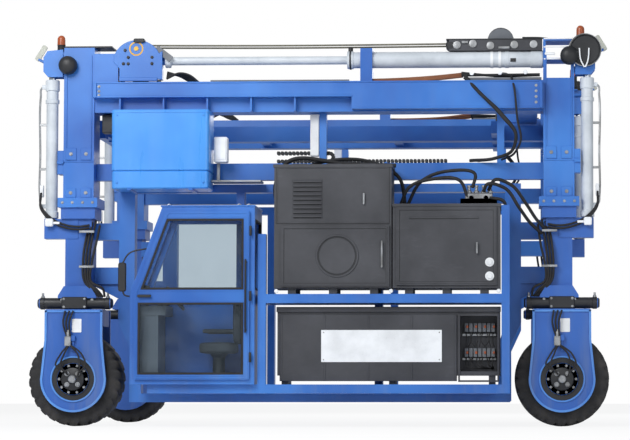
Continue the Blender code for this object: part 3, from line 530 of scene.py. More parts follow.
def bolts(places, axis, size, out=1, head=0.6):
    # hexagon heads on round washers, standing out along the axis
    ring = np.linspace(0, math.tau, 6, endpoint=False)
    washer = np.linspace(0, math.tau, 12, endpoint=False)
    hexagon = np.stack([np.cos(ring), np.sin(ring)], 1) * size
    disc = np.stack([np.cos(washer), np.sin(washer)], 1) * size * 1.3
    depth = sorted((0, out * size * 0.2))
    tall = sorted((0, out * size * (0.2 + head)))
    shapes = (slab(disc, depth[0], depth[1], size * 0.03, axis),
              slab(hexagon, tall[0], tall[1], size * 0.1, axis))
    return [repeated(shape, places) for shape in shapes]


def moved(shape, matrix, shift=(0, 0, 0)):
    # a shape turned by a 3 by 3 matrix and shifted
    points, blocks = shape
    return points @ np.asarray(matrix, float).T + np.asarray(shift, float), blocks


def aboutY(angle, centre):
    # turns and shifts that swing a shape about a line along Y through a point
    c, s = math.cos(angle), math.sin(angle)
    matrix = np.array([[c, 0, s], [0, 1, 0], [-s, 0, c]])
    centre = np.asarray(centre, float)
    return matrix, centre - matrix @ centre


def piece(name, body, finish, shapes, soft=35.0, stands=()):
    # shapes joined in one mesh: doubles merged, faces turned outwards, sharp above an angle
    count = 0
    points, faces = [], []
    for shapePoints, blocks in shapes:
        points.append(shapePoints)
        for block in blocks:
            faces += (block + count).tolist()
        count += len(shapePoints)
    mesh = bpy.data.meshes.new(name)
    mesh.from_pydata(np.vstack(points).tolist(), [], faces)
    work = bmesh.new()
    work.from_mesh(mesh)
    bmesh.ops.remove_doubles(work, verts=work.verts, dist=2e-5)
    bmesh.ops.dissolve_degenerate(work, edges=work.edges, dist=1e-5)
    bmesh.ops.recalc_face_normals(work, faces=work.faces)
    work.to_mesh(mesh)
    work.free()
    mesh.shade_smooth()
    mesh.set_sharp_from_angle(angle=math.radians(soft))
    mesh.materials.append(finishes[finish])
    made = bpy.data.objects.new(name, mesh)
    bpy.context.scene.collection.objects.link(made)
    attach(made, body)
    if stands:
        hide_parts(*stands)
    return made


def ropePiece(name, shapes, first, stands=()):
    # a taut rope between two bodies: made on the first, then set loose from its body with its place baked in
    made = piece(name, first, "rope", shapes, 60.0, stands)
    made.parent = None
    del made["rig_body"]
    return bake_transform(made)


def around(middle, reach):
    # the two ends of a span about its middle
    return middle - reach, middle + reach


def depths(side, first, second):
    # the world Y of two depths on one side
    return across(side, first), across(side, second)


def oblong(u, v):
    # the four corners of a rectangle, from its two spans
    return [(u[0], v[0]), (u[1], v[0]), (u[1], v[1]), (u[0], v[1])]


def band(outline, width, low, high, axis="y"):
    # a flat strip with a square section that follows inside a closed outline
    first, second, third = np.array(axisTurns[axis], float)
    lines = (np.asarray(outline, float), drawnIn(outline, width))
    section = ((0, low), (0, high), (1, high), (1, low))
    rings = np.stack([
        lines[i][:, :1] * first + lines[i][:, 1:] * second + at * third for i, at in section
    ], 1)
    return wound(np.concatenate([rings, rings[:1]]), capped=False)


def pillow(x, y, z, square=0.34):
    # superellipsoid: each of cos and sin raised to a power below one, so its sides crown softly
    low, high = np.array([min(p) for p in (x, y, z)]), np.array([max(p) for p in (x, y, z)])
    u = np.linspace(-math.pi / 2, math.pi / 2, 25)[:, None]
    v = np.linspace(-math.pi, math.pi, 48, endpoint=False)[None]

    def bent(value):
        return np.sign(value) * np.abs(value) ** square

    unit = np.stack([bent(np.cos(u)) * bent(np.cos(v)), bent(np.cos(u)) * bent(np.sin(v)),
                     np.broadcast_to(bent(np.sin(u)), (25, 48))], -1)
    return wound((low + high) / 2 + unit * (high - low) / 2, capped=False)


# wheels and forks
wheel = {"lugs": 26, "lugDepth": 0.03, "around": 208, "beadRadius": 0.302, "hubBolts": 10}
tyreLow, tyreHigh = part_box("tyre_front_near")
wheelRadius = (tyreHigh.z - tyreLow.z) / 2
wheelHalf = (tyreHigh.y - tyreLow.y) / 2
wheelX = -(tyreLow.x + tyreHigh.x) / 2
wheelOut = laneMid - (tyreLow.y + tyreHigh.y) / 2
wheelZ = wheelRadius


def tyreShape(centre):
    # radius over (angle u, profile v): a worn crown with slanting lugs cut at the shoulders,
    # r = crown - depth * step(sin(lugs * u + 5 * |y| / half)) * (how far the point is from the middle)
    half = wheelHalf
    bead, bulge, wall = wheel["beadRadius"], 0.44, wheelRadius - 0.055
    profile = np.array([
        (bead, half * 0.80), (bead + 0.03, half * 0.93), (bulge, half), (wall - 0.02, half * 0.985),
        (wall, half * 0.97), (wheelRadius - 0.02, half * 0.93), (wheelRadius - 0.004, half * 0.82),
        (wheelRadius, half * 0.6), (wheelRadius, half * 0.3), (wheelRadius, half * 0.08),
    ])
    profile = np.vstack([profile, (profile * (1, -1))[::-1]])
    angle = np.linspace(0, math.tau, wheel["around"], endpoint=False)
    radius, aside = profile[:, :1], profile[:, 1:]
    wave = np.sin(wheel["lugs"] * angle[None] + 5 * np.abs(aside) / half * np.sign(aside))
    groove = np.clip((wave - 0.15) * 6, 0, 1)
    reach = np.clip((np.abs(aside) / half - 0.25) * 3, 0, 1) * (radius > wall - 0.03)
    r = radius - wheel["lugDepth"] * groove * reach
    rings = np.stack([r * np.cos(angle), np.broadcast_to(aside, r.shape), r * np.sin(angle)], -1)
    rings = np.concatenate([rings, rings[:1]])
    return wound(rings + np.asarray(centre), capped=False)


fork = {
    "half": 0.4125, "neckHalf": 0.3625, "neckRise": 0.487, "top": 1.451, "outer": 0.275, "rim": 0.027,
}


def forkBand(x, face, out):
    # the raised rim that follows the fork's edge: down the neck, round the hub and up again, with a ring
    # round the hub and a strip along the fork's top; the caller paints them a lighter blue as a painted
    # highlight
    turn = np.linspace(math.pi, math.tau, 33)
    curve = np.stack([x + fork["half"] * np.cos(turn), wheelZ + fork["half"] * np.sin(turn)], 1)
    neck = wheelZ + fork["neckRise"]
    outer = np.vstack([
        [(x - fork["neckHalf"], fork["top"]), (x - fork["neckHalf"], neck)], curve,
        [(x + fork["neckHalf"], neck), (x + fork["neckHalf"], fork["top"])],
    ])
    middle = np.array([x, wheelZ])
    pull = outer - middle
    pull[:2, 1] = 0
    pull[-2:, 1] = 0
    inner = outer - pull / np.linalg.norm(pull, axis=1)[:, None] * fork["rim"]
    shapes = []
    corners = ((outer, 0.0), (outer, 0.016), (inner, 0.016), (inner, 0.0))
    rings = np.stack([
        np.stack([line[:, 0], np.full(len(line), face + out * lift), line[:, 1]], 1) for line, lift in corners
    ], 1)
    shapes.append(wound(rings))
    shapes.append(moved(turned([(0.287, -0.004), (0.287, 0.012), (0.283, 0.016), (0.270, 0.016),
                                (0.266, 0.012), (0.266, -0.004)],
                               (x, 0, wheelZ), "y", 56, True), np.diag([1, out, 1]), (0, face, 0)))
    shapes.append(brick((x - fork["neckHalf"], x + fork["neckHalf"]), (face, face + out * 0.016),
                        (fork["top"] - 0.03, fork["top"] - 0.002), 0.004))
    return shapes


def hubFace(x, face, out):
    # the hub motor: a flange with its bolt ring, a step, and a capped centre with four ports; a dark ring in
    # the recess round the flange is painted shade
    dark = [
        turned([(0.0, -0.02), (0.205, -0.02), (0.205, 0.012), (0.197, 0.02), (0.145, 0.02), (0.14, 0.05),
                (0.125, 0.058), (0.0, 0.058)], (x, 0, wheelZ), "y", 40),
        # dark plastic ring sunk between the flange and the fork's rim: painted shade of the recess
        turned([(0.266, -0.012), (0.266, 0.003), (0.20, 0.003), (0.20, -0.012)], (x, 0, wheelZ), "y", 48,
               True),
    ]
    angle = np.linspace(0, math.tau, wheel["hubBolts"], endpoint=False)
    ring = np.stack([x + 0.172 * np.cos(angle), np.full(len(angle), 0.02), wheelZ + 0.172 * np.sin(angle)], 1)
    bright = bolts(ring, "y", 0.013)
    cross = np.array([45, 135, 225, 315]) * math.pi / 180
    ports = np.stack([x + 0.095 * np.cos(cross), np.full(4, 0.055), wheelZ + 0.095 * np.sin(cross)], 1)
    bright += bolts(ports, "y", 0.024, 1, 1.0)
    bright.append(turned([(0.0, 0.05), (0.05, 0.05), (0.05, 0.078), (0.04, 0.088), (0.0, 0.09)],
                         (x, 0, wheelZ), "y", 20))
    turnOver = np.diag([1, out, 1])
    shift = (0, face, 0)
    return [moved(s, turnOver, shift) for s in dark], [moved(s, turnOver, shift) for s in bright]


for end, side in corners:
    corner = f"{end}_{side}"
    x, out = ends[end] * wheelX, sides[side]
    piece(f"treaded_tyre_{corner}", f"wheel_{corner}", "tyre",
          [tyreShape((x, across(side, wheelOut), wheelZ))],
          40.0, [f"tyre_{corner}"])
    rimSteel = [turned([(0.296, -0.152), (0.312, -0.158), (0.312, -0.146), (0.299, -0.14), (0.299, 0.14),
                        (0.312, 0.146), (0.312, 0.158), (0.296, 0.152)],
                       (x, across(side, wheelOut), wheelZ), "y", 48, True)]
    piece(f"rim_flange_{corner}", f"wheel_{corner}", "wheelBlack", rimSteel)
    face = across(side, wheelOut + fork["outer"])
    # rim, hub ring and top strip in the lighter blue: painted highlight
    piece(f"fork_rim_{corner}", f"fork_{corner}", "rimHighlightBlue", forkBand(x, face, out))
    dark, bright = hubFace(x, face, out)
    piece(f"hub_motor_{corner}", f"fork_{corner}", "darkPlastic", dark)
    piece(f"hub_fittings_{corner}", f"fork_{corner}", "steel", bright)
    plateFace = (face + out * 0.001, face + out * 0.006)
    label = brick((x - 0.02, x + 0.10), plateFace, (1.17, 1.34), 0.002, 0.01)
    piece(f"fork_plate_{corner}", f"fork_{corner}", "white", [label])
    stiff = [
        brick(around(x, 0.012), (face - out * 0.01, face + out * 0.03), (0.93, 1.14), 0.004),
        brick((x - 0.11, x + 0.03), (face, face + out * 0.05), (1.06, 1.13), 0.005),
    ]
    piece(f"fork_bracket_{corner}", f"fork_{corner}", "forkBlue", stiff)
    valve = [
        brick((x - 0.10, x - 0.02), (face + out * 0.004, face + out * 0.075), (1.0, 1.12), 0.006),
        turned([(0.0, -0.05), (0.02, -0.05), (0.022, 0.0), (0.015, 0.04), (0.0, 0.04)],
               (x - 0.06, face + out * 0.05, 1.16), "z", 12),
    ]
    piece(f"hub_valve_{corner}", f"fork_{corner}", "steel", valve)
    lines = []
    for i, (drop, bow) in enumerate(((0.085, 0.20), (0.05, 0.14), (0.03, -0.10), (0.075, -0.17))):
        start = (x - 0.06 + 0.012 * i, face + out * 0.05, 1.01)
        finish = (x + (0.055 if bow < 0 else -0.055) + 0.01 * i, face + out * 0.10, wheelZ + drop)
        lines.append(hose([start, (x - bow * 0.7, face + out * 0.09, 0.90),
                           (x - bow, face + out * 0.10, 0.76),
                           finish], 0.011, 8, 24))
    for i in range(3):
        top = (x - 0.10 + 0.05 * i, face + out * 0.03, 1.44)
        lines.append(hose([top, (x - 0.12 + 0.04 * i, face + out * 0.06, 1.30),
                           (x - 0.07 + 0.02 * i, face + out * 0.05, 1.10)], 0.012, 8, 16))
    piece(f"hub_lines_{corner}", f"fork_{corner}", "hose", lines)
print("wheels and forks dressed")

# cab: glazing, seals, seat, desk and fittings
cabLow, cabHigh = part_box("cab_shell")
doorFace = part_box("cab_door")[0].y
cab = {
    "front": cabLow.x, "rear": cabHigh.x, "low": cabLow.z, "top": cabHigh.z, "knee": cabLow.z + 1.13,
    "lean": 0.39 / 1.05, "windowRear": 0.14, "windowFront": 0.13, "pane": (1.92, 2.48),
    "upper": (cabLow.z + 1.17, cabLow.z + 2.02), "lower": (cabLow.z + 0.13, cabLow.z + 0.99),
}


def cabFrontAt(z):
    return cab["front"] + max(z - cab["knee"], 0) * cab["lean"]


def upperWindow(grow=0.0):
    low, high = cab["upper"][0] - grow, cab["upper"][1] + grow
    rear = cab["rear"] - cab["windowRear"] + grow
    start = cab["windowFront"] - grow
    return [(cabFrontAt(low) + start, low), (rear, low), (rear, high), (cabFrontAt(high) + start, high)]


lowerWindow = oblong((cab["front"] + 0.11, cab["rear"] - 0.14), cab["lower"])
piece("door_glass", "cab_door", "glass", [
    slab(drawnIn(upperWindow(), -0.004), doorFace + 0.016, doorFace + 0.022, 0.001),
    slab(drawnIn(lowerWindow, -0.004), doorFace + 0.016, doorFace + 0.022, 0.001),
])
piece("door_seals", "cab_door", "hose", [
    band(drawnIn(upperWindow(), -0.010), 0.026, doorFace - 0.004, doorFace + 0.012),
    band(drawnIn(lowerWindow, -0.010), 0.026, doorFace - 0.004, doorFace + 0.012),
])
doorEdge = [
    (cab["front"] + 0.075, cab["low"] + 0.075), (cab["rear"] - 0.075, cab["low"] + 0.075),
    (cab["rear"] - 0.075, cab["top"] - 0.075), (cabFrontAt(cab["top"]) + 0.075, cab["top"] - 0.075),
    (cab["front"] + 0.075, cab["knee"] - 0.02),
]
piece("door_lip", "cab_door", "frameBlue", [
    band(doorEdge, 0.012, doorFace - 0.006, doorFace + 0.006),
    band(drawnIn(upperWindow(0.03), 0.0), 0.01, doorFace - 0.005, doorFace + 0.004),
    band(drawnIn(lowerWindow, -0.03), 0.01, doorFace - 0.005, doorFace + 0.004),
])
latch = cab["upper"][0] - 0.09
piece("door_latch", "cab_door", "darkPlastic", [
    brick((cab["front"] + 0.10, cab["front"] + 0.27), (doorFace - 0.045, doorFace - 0.02),
          around(latch, 0.018), 0.006, 0.012),
    brick((cab["front"] + 0.115, cab["front"] + 0.145), (doorFace - 0.03, doorFace), around(latch, 0.014),
          0.003),
    brick((cab["front"] + 0.225, cab["front"] + 0.255), (doorFace - 0.03, doorFace), around(latch, 0.014),
          0.003),
    brick((cab["rear"] - 0.115, cab["rear"] - 0.09), (doorFace - 0.05, doorFace - 0.03), (1.15, 2.05),
          0.008, 0.01),
    brick((cab["rear"] - 0.115, cab["rear"] - 0.09), (doorFace - 0.035, doorFace), (1.17, 1.20), 0.004),
    brick((cab["rear"] - 0.115, cab["rear"] - 0.09), (doorFace - 0.035, doorFace), (2.0, 2.03), 0.004),
])
screen = [cab["upper"][0] + 0.03, cab["upper"][1] + 0.06]
slope = [(cabFrontAt(z) + 0.02, z) for z in screen]
paneSpan = [across("near", d) for d in cab["pane"]]
piece("cab_glass", "near_side", "glass", [
    slab(slope + [(x + 0.006, z) for x, z in reversed(slope)], paneSpan[1], paneSpan[0], 0.001),
    brick((cab["front"] + 0.02, cab["front"] + 0.026), paneSpan, cab["lower"], 0.001),
    brick((cab["rear"] - 0.026, cab["rear"] - 0.02), paneSpan, cab["upper"], 0.001),
    slab(upperWindow(), across("near", 1.84), across("near", 1.834), 0.001),
])
paneDepths = depths("near", 2.48, 1.92)
piece("cab_seals", "near_side", "hose", [
    band(drawnIn(oblong(paneDepths, cab["upper"]), -0.01), 0.025, cab["rear"] - 0.03, cab["rear"] + 0.006,
         "x"),
    band(drawnIn(oblong(paneDepths, cab["lower"]), -0.01), 0.025, cab["front"] - 0.006, cab["front"] + 0.03,
         "x"),
])
hooks = []
for x in (cab["front"] + 0.46, cab["rear"] - 0.20, cab["rear"] - 0.08):
    for depth in (1.90, 2.50):
        turn = np.linspace(0, math.pi, 9)
        eye = np.stack([x + 0.028 * np.cos(turn), np.full(9, across("near", depth)),
                        cab["top"] + 0.035 * np.sin(turn)], 1)
        hooks.append(hose(eye, 0.009, 8, 14))
piece("roof_eyes", "near_side", "steel", hooks)
roofBars = [
    brick((cabFrontAt(cab["top"]) - 0.02, cab["rear"] + 0.01), depths("near", 1.81, 2.59),
          (cab["top"] - 0.002, cab["top"] + 0.018), 0.004, 0.0, "z"),
    brick((cab["front"] - 0.012, cab["front"]), depths("near", 1.86, 2.56),
          (cab["upper"][0] - 0.11, cab["upper"][0] - 0.05), 0.004),
]
piece("cab_roof_sheet", "near_side", "frameBlue", roofBars)
mirror = [
    brick((cab["front"] - 0.16, cab["front"] - 0.06), depths("near", 2.55, 2.51), (1.66, 2.02), 0.012, 0.03),
    hose([(cab["front"] + 0.02, across("near", 2.50), 1.60),
          (cab["front"] - 0.08, across("near", 2.53), 1.62),
          (cab["front"] - 0.11, across("near", 2.54), 1.70)], 0.010, 8, 14),
    hose([(cabFrontAt(2.2) + 0.02, across("near", 2.50), 2.20),
          (cab["front"] - 0.04, across("near", 2.53), 2.12),
          (cab["front"] - 0.11, across("near", 2.54), 2.00)], 0.010, 8, 14),
]
piece("side_mirror", "near_side", "darkPlastic", mirror)
hinges = []
for z in (0.85, 1.60, 2.40):
    hinges.append(turned([(0.0, -0.06), (0.014, -0.06), (0.016, -0.055), (0.016, 0.055), (0.014, 0.06),
                          (0.0, 0.06)],
                         (cab["rear"] - 0.045, doorFace - 0.008, z), "z", 14))
piece("door_hinges", "near_side", "darkPlastic", hinges)

seatLow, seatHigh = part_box("cab_seat")
seatMid = (seatLow.y + seatHigh.y) / 2
cushion = piece("seat_cushion", "near_side", "seat", [
    pillow((seatLow.x, seatHigh.x - 0.10), (seatLow.y, seatHigh.y), (seatLow.z + 0.33, seatLow.z + 0.47)),
], 60.0, ["cab_seat"])
backrest = piece("seat_back", "near_side", "seat", [
    pillow((seatHigh.x - 0.13, seatHigh.x), (seatLow.y, seatHigh.y), (seatLow.z + 0.45, seatHigh.z)),
], 60.0)
piece("seat_base", "near_side", "darkPlastic", [
    turned([(0.0, 0.0), (0.16, 0.0), (0.16, 0.02), (0.10, 0.04), (0.075, 0.08), (0.075, 0.28),
            (0.12, 0.335), (0.0, 0.335)],
           ((seatLow.x + seatHigh.x - 0.1) / 2, seatMid, seatLow.z), "z", 28),
    brick((seatLow.x + 0.05, seatHigh.x - 0.02), (seatLow.y + 0.02, seatLow.y + 0.07),
          (seatLow.z + 0.58, seatLow.z + 0.63), 0.015, 0.02),
    brick((seatLow.x + 0.05, seatHigh.x - 0.02), (seatHigh.y - 0.07, seatHigh.y - 0.02),
          (seatLow.z + 0.58, seatLow.z + 0.63), 0.015, 0.02),
])
deskLow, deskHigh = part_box("cab_console")
deskMid = (deskLow.y + deskHigh.y) / 2
wheelTurn, wheelShift = aboutY(0.95, (deskHigh.x + 0.08, deskMid, deskHigh.z + 0.10))
ringTurn = np.linspace(0, math.tau, 12, endpoint=False)
rim = np.stack([0.17 + 0.014 * np.cos(ringTurn), 0.014 * np.sin(ringTurn)], 1)
steering = [
    turned(rim, (deskHigh.x + 0.08, deskMid, deskHigh.z + 0.10), "z", 40, True),
    turned([(0.0, -0.02), (0.045, -0.02), (0.04, 0.015), (0.0, 0.02)],
           (deskHigh.x + 0.08, deskMid, deskHigh.z + 0.10), "z", 20),
    brick((deskHigh.x - 0.09, deskHigh.x + 0.25), around(deskMid, 0.015),
          (deskHigh.z + 0.093, deskHigh.z + 0.107), 0.004),
    turned([(0.0, -0.26), (0.026, -0.26), (0.022, 0.0), (0.0, 0.0)],
           (deskHigh.x + 0.08, deskMid, deskHigh.z + 0.10), "z", 16),
]
piece("steering_wheel", "near_side", "darkPlastic", [moved(s, wheelTurn, wheelShift) for s in steering])
piece("desk_controls", "near_side", "darkPlastic", [
    brick((deskLow.x + 0.05, deskLow.x + 0.09), (deskMid - 0.17, deskMid + 0.12),
          (deskHigh.z + 0.02, deskHigh.z + 0.26), 0.008, 0.02, "x"),
    brick((deskLow.x + 0.06, deskLow.x + 0.09), around(deskMid, 0.02),
          (deskHigh.z - 0.005, deskHigh.z + 0.04), 0.004),
    *[turned([(0.0, 0.0), (0.04, 0.0), (0.03, 0.02), (0.012, 0.03), (0.012, 0.10), (0.022, 0.13),
              (0.02, 0.18), (0.0, 0.19)],
             (deskHigh.x - 0.08, deskMid + aside, deskHigh.z), "z", 18)
      for aside in (-0.20, 0.22)],
])
piece("desk_keys", "near_side", "white", [
    repeated(brick((-0.012, 0.012), (-0.012, 0.012), (0, 0.008), 0.002),
             [(deskHigh.x - 0.20 + 0.035 * i, deskMid - 0.10 + 0.045 * j,
               deskHigh.z) for i in range(3) for j in range(5)]),
])
print("cab fitted")

# boxes on the rack
housingLow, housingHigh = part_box("power_housing")
cabinetLow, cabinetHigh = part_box("control_cabinet")
batteryLow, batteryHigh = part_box("battery_box")
engineDoorLow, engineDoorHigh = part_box("engine_door")
cabinetDoorLow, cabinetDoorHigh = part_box("cabinet_door")
boxes = {"louvers": 9, "louverPitch": 0.054, "louverX": (0.23, 0.59), "louverTop": 0.16, "portRadius": 0.26}
skin = housingLow.y
louverX = [housingLow.x + x for x in boxes["louverX"]]
louvers = []
for i in range(boxes["louvers"]):
    z = housingHigh.z - boxes["louverTop"] - (i + 1) * boxes["louverPitch"]
    louvers.append(slab([(skin + 0.002, z), (skin - 0.022, z), (skin - 0.018, z + 0.012),
                         (skin + 0.002, z + 0.034)],
                        louverX[0], louverX[1], 0.003, "x"))
upperPanel = oblong((housingLow.x + 0.03, housingHigh.x - 0.03),
                    (engineDoorHigh.z + 0.03, housingHigh.z - 0.03))
louvers.append(band(upperPanel, 0.012, skin - 0.006, skin + 0.002))
for low, high, past in ((housingLow, housingHigh, 0.012), (cabinetLow, cabinetHigh, 0.006)):
    lid = oblong((low.x - past, high.x + 0.012), (low.y - 0.012, high.y + 0.012))
    louvers.append(band(lid, 0.03, high.z - 0.03, high.z + 0.008, "z"))
for u in np.linspace(housingLow.x + 0.30, housingHigh.x - 0.30, 3):
    louvers.append(brick(around(u, 0.10), (housingLow.y + 0.12, housingHigh.y - 0.12),
                         (housingHigh.z, housingHigh.z + 0.03), 0.008, 0.03, "z"))
piece("housing_trim", "near_side", "boxBlack", louvers)
slots = [
    brick((louverX[0] + 0.01, louverX[1] - 0.01), (skin - 0.0015, skin + 0.001),
          (housingHigh.z - boxes["louverTop"] - (i + 1) * boxes["louverPitch"] - 0.014,
           housingHigh.z - boxes["louverTop"] - (i + 1) * boxes["louverPitch"]), 0.0005)
    for i in range(boxes["louvers"])
]
slots += [band(drawnIn(upperPanel, -0.008), 0.006, skin - 0.002, skin + 0.001)]
piece("housing_gaps", "near_side", "darkPlastic", slots)

doorOut = engineDoorLow.y
port = (engineDoorLow.x * 0.48 + engineDoorHigh.x * 0.52, doorOut, (engineDoorLow.z + engineDoorHigh.z) / 2)
portEdge = boxes["portRadius"]
doorOutline = oblong((engineDoorLow.x + 0.02, engineDoorHigh.x - 0.02),
                     (engineDoorLow.z + 0.02, engineDoorHigh.z - 0.02))
piece("engine_door_trim", "engine_door", "boxBlack", [
    turned([(portEdge - 0.016, -0.012), (portEdge, -0.012), (portEdge + 0.004, -0.008),
            (portEdge + 0.004, 0.002),
            (portEdge - 0.02, 0.002)], port, "y", 56, True),
    turned([(0.0, -0.007), (portEdge - 0.04, -0.007), (portEdge - 0.034, 0.002), (0.0, 0.002)], port, "y",
           56),
    band(doorOutline, 0.016, doorOut - 0.006, doorOut + 0.002),
])
piece("engine_door_gaps", "engine_door", "darkPlastic", [
    turned([(portEdge - 0.036, -0.003), (portEdge - 0.014, -0.003), (portEdge - 0.014, 0.001),
            (portEdge - 0.036, 0.001)],
           port, "y", 56, True),
    band(drawnIn(doorOutline, 0.016), 0.008, doorOut - 0.002, doorOut + 0.001),
])


def pull(x, z, face, reach=0.05):
    # an upright bar handle on two feet
    return [
        brick(around(x, 0.012), (face - reach, face - reach + 0.018), z, 0.005, 0.008),
        brick(around(x, 0.012), (face - reach + 0.012, face), (z[0] + 0.01, z[0] + 0.035), 0.004),
        brick(around(x, 0.012), (face - reach + 0.012, face), (z[1] - 0.035, z[1] - 0.01), 0.004),
    ]


piece("engine_door_handle", "engine_door", "steel", pull(engineDoorHigh.x - 0.09, (1.95, 2.28), doorOut))
piece("panel_handle", "near_side", "steel", pull(housingHigh.x - 0.34, (2.73, 2.87), skin, 0.035))
cabinetOut = cabinetDoorLow.y
cabinetOutline = oblong((cabinetDoorLow.x + 0.02, cabinetDoorHigh.x - 0.02),
                        (cabinetDoorLow.z + 0.02, cabinetDoorHigh.z - 0.02))
piece("cabinet_door_trim", "cabinet_door", "boxBlack", [
    band(cabinetOutline, 0.016, cabinetOut - 0.006, cabinetOut + 0.002),
    brick((cabinetDoorLow.x + 0.16, cabinetDoorHigh.x - 0.22), (cabinetOut - 0.006, cabinetOut + 0.001),
          (2.555, 2.575), 0.002),
])
piece("cabinet_door_gaps", "cabinet_door", "darkPlastic", [
    band(drawnIn(cabinetOutline, 0.016), 0.008, cabinetOut - 0.002, cabinetOut + 0.001),
    brick((cabinetDoorLow.x + 0.16, cabinetDoorHigh.x - 0.22), (cabinetOut - 0.003, cabinetOut + 0.001),
          (2.545, 2.555), 0.001),
])
piece("cabinet_door_handle", "cabinet_door", "steel",
      pull(cabinetDoorHigh.x - 0.24, (2.12, 2.26), cabinetOut, 0.04))
cap = [(0.0, -0.03), (0.03, -0.03), (0.036, -0.022), (0.036, -0.014), (0.054, -0.012), (0.056, 0.001),
       (0.0, 0.001)]
piece("cabinet_caps", "cabinet_door", "white", [
    turned(cap, (cabinetDoorHigh.x - 0.085, cabinetOut, z), "y", 28) for z in (2.015, 1.845)
])
footPads = [turned([(0.0, -0.01), (0.022, -0.01), (0.026, 0.0), (0.0, 0.0)],
                   (x, across("near", 2.505), 1.665), "y", 14)
            for x in (housingLow.x + 0.03, cabinetLow.x - 0.02, cabinetHigh.x - 0.02)]
piece("foot_pads", "near_side", "white", footPads)

front = batteryLow.y
panelEnd = batteryHigh.x - 0.53
lowerPanel = oblong((batteryLow.x + 0.03, panelEnd), (batteryLow.z + 0.04, batteryHigh.z - 0.09))
piece("battery_trim", "near_side", "boxBlack", [
    slab(lowerPanel, front - 0.018, front + 0.002, 0.004),
    brick((batteryLow.x - 0.01, batteryHigh.x + 0.01), (front - 0.03, front + 0.002),
          (batteryHigh.z - 0.06, batteryHigh.z + 0.006), 0.006),
    *[brick(around(x, 0.012), (front - 0.024, front), (batteryLow.z + 0.05, batteryHigh.z - 0.10), 0.003)
      for x in np.linspace(batteryLow.x + 0.05, panelEnd - 0.02, 5)],
    band(oblong((panelEnd + 0.015, batteryHigh.x - 0.012), (batteryLow.z + 0.03, batteryHigh.z - 0.085)),
         0.022, front - 0.012, front + 0.002),
])
blank = {"x": (0.079, 1.566), "z": (0.795, 1.19)}
piece("blank_plate", "near_side", "white", [
    brick(blank["x"], (front - 0.032, front - 0.024), blank["z"], 0.002, 0.006),
])
piece("plate_rivets", "near_side", "steel", [
    repeated(turned([(0.0, -0.006), (0.006, -0.005), (0.009, 0.0), (0.0, 0.001)], (0, 0, 0), "y", 10),
             [(x, front - 0.032, z) for x in (blank["x"][0] + 0.03, blank["x"][1] - 0.03)
              for z in (blank["z"][0] + 0.03, blank["z"][1] - 0.03)]),
])
bayX = (batteryHigh.x - 0.47, batteryHigh.x - 0.05)
bayBack = front + 0.24
breakers = [brick((bayX[0] + 0.03 + 0.055 * i, bayX[0] + 0.075 + 0.055 * i), (bayBack - 0.07, bayBack),
                  (z, z + 0.11), 0.004)
            for i in range(7) for z in (1.17, 0.86)]
piece("bay_breakers", "near_side", "console", breakers)
piece("bay_rails", "near_side", "steel", [
    brick(bayX, (bayBack - 0.02, bayBack), (z, z + 0.03), 0.003) for z in (1.12, 0.82)
])
bayWires = []
for i in range(9):
    x = bayX[0] + 0.05 + 0.042 * i
    bow = 0.03 * math.sin(2.3 * i)
    bayWires.append(hose([(x, bayBack - 0.05, 1.17), (x + bow, bayBack - 0.10, 1.06),
                          (x - bow, bayBack - 0.09, 0.98)],
                         0.006, 6, 14))
    bayWires.append(hose([(x, bayBack - 0.05, 0.86), (x + bow, bayBack - 0.12, 0.76),
                          (bayX[1] - 0.03, bayBack - 0.05, 0.71)],
                         0.007, 6, 14))
piece("bay_wires", "near_side", "hose", bayWires)
piece("bay_marks", "near_side", "amber", [
    brick((bayX[0] + 0.05 + 0.11 * i, bayX[0] + 0.075 + 0.11 * i), (bayBack - 0.082, bayBack - 0.07),
          (z, z + 0.03), 0.002)
    for i in range(4) for z in (1.22, 0.90)
])
print("boxes fitted")

# tank under the near top beam
tankLow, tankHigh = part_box("fuel_tank")
tankX, tankY, tankZ = [(tankLow[i], tankHigh[i]) for i in range(3)]
seamZ = tankZ[0] + 0.225
piece("oil_tank", "upper_frame", "tankBlue", [
    brick(tankX, tankY, (seamZ + 0.002, tankZ[1]), 0.01, 0.05, "z"),
    brick((tankX[0] + 0.004, tankX[1] - 0.004), (tankY[0] + 0.004, tankY[1]), (tankZ[0], seamZ), 0.014,
          0.05, "z"),
    band(rounded((tankX[0] - 0.006, tankX[1] + 0.006), (tankY[0] - 0.006, tankY[1] + 0.006), 0.05), 0.02,
         tankZ[1] - 0.04, tankZ[1] - 0.025, "z"),
], 40.0, ["fuel_tank"])
piece("tank_bolts", "upper_frame", "tankBlue", bolts(
    [(x, tankY[0] - 0.001, z) for x in (tankX[0] + 0.07, tankX[1] - 0.07) for z in (tankZ[0] + 0.08,
        tankZ[1] - 0.07)],
    "y", 0.012, -1))
piece("tank_straps", "upper_frame", "frameBlue", [
    brick((x, x + 0.05), (tankY[0] - 0.004, tankY[1] + 0.004), (tankZ[0] - 0.02, tankZ[0] + 0.004),
          0.004) for x in (tankX[0] + 0.2, tankX[1] - 0.25)
])
boxX = tankX[1] + 0.03
piece("relay_box", "upper_frame", "white", [
    brick((boxX, boxX + 0.17), depths("near", 2.10, 1.95), (3.30, 3.62), 0.012, 0.02),
    brick((boxX + 0.02, boxX + 0.15), depths("near", 2.107, 2.10), (3.33, 3.59), 0.003, 0.01),
])
piece("relay_tray", "upper_frame", "steel", [
    brick((boxX - 0.03, boxX + 0.60), depths("near", 2.12, 1.84), (3.05, 3.075), 0.004),
    brick((boxX + 0.02, boxX + 0.06), depths("near", 1.97, 1.93), (3.07, 3.32), 0.004),
])
print("tank fitted")

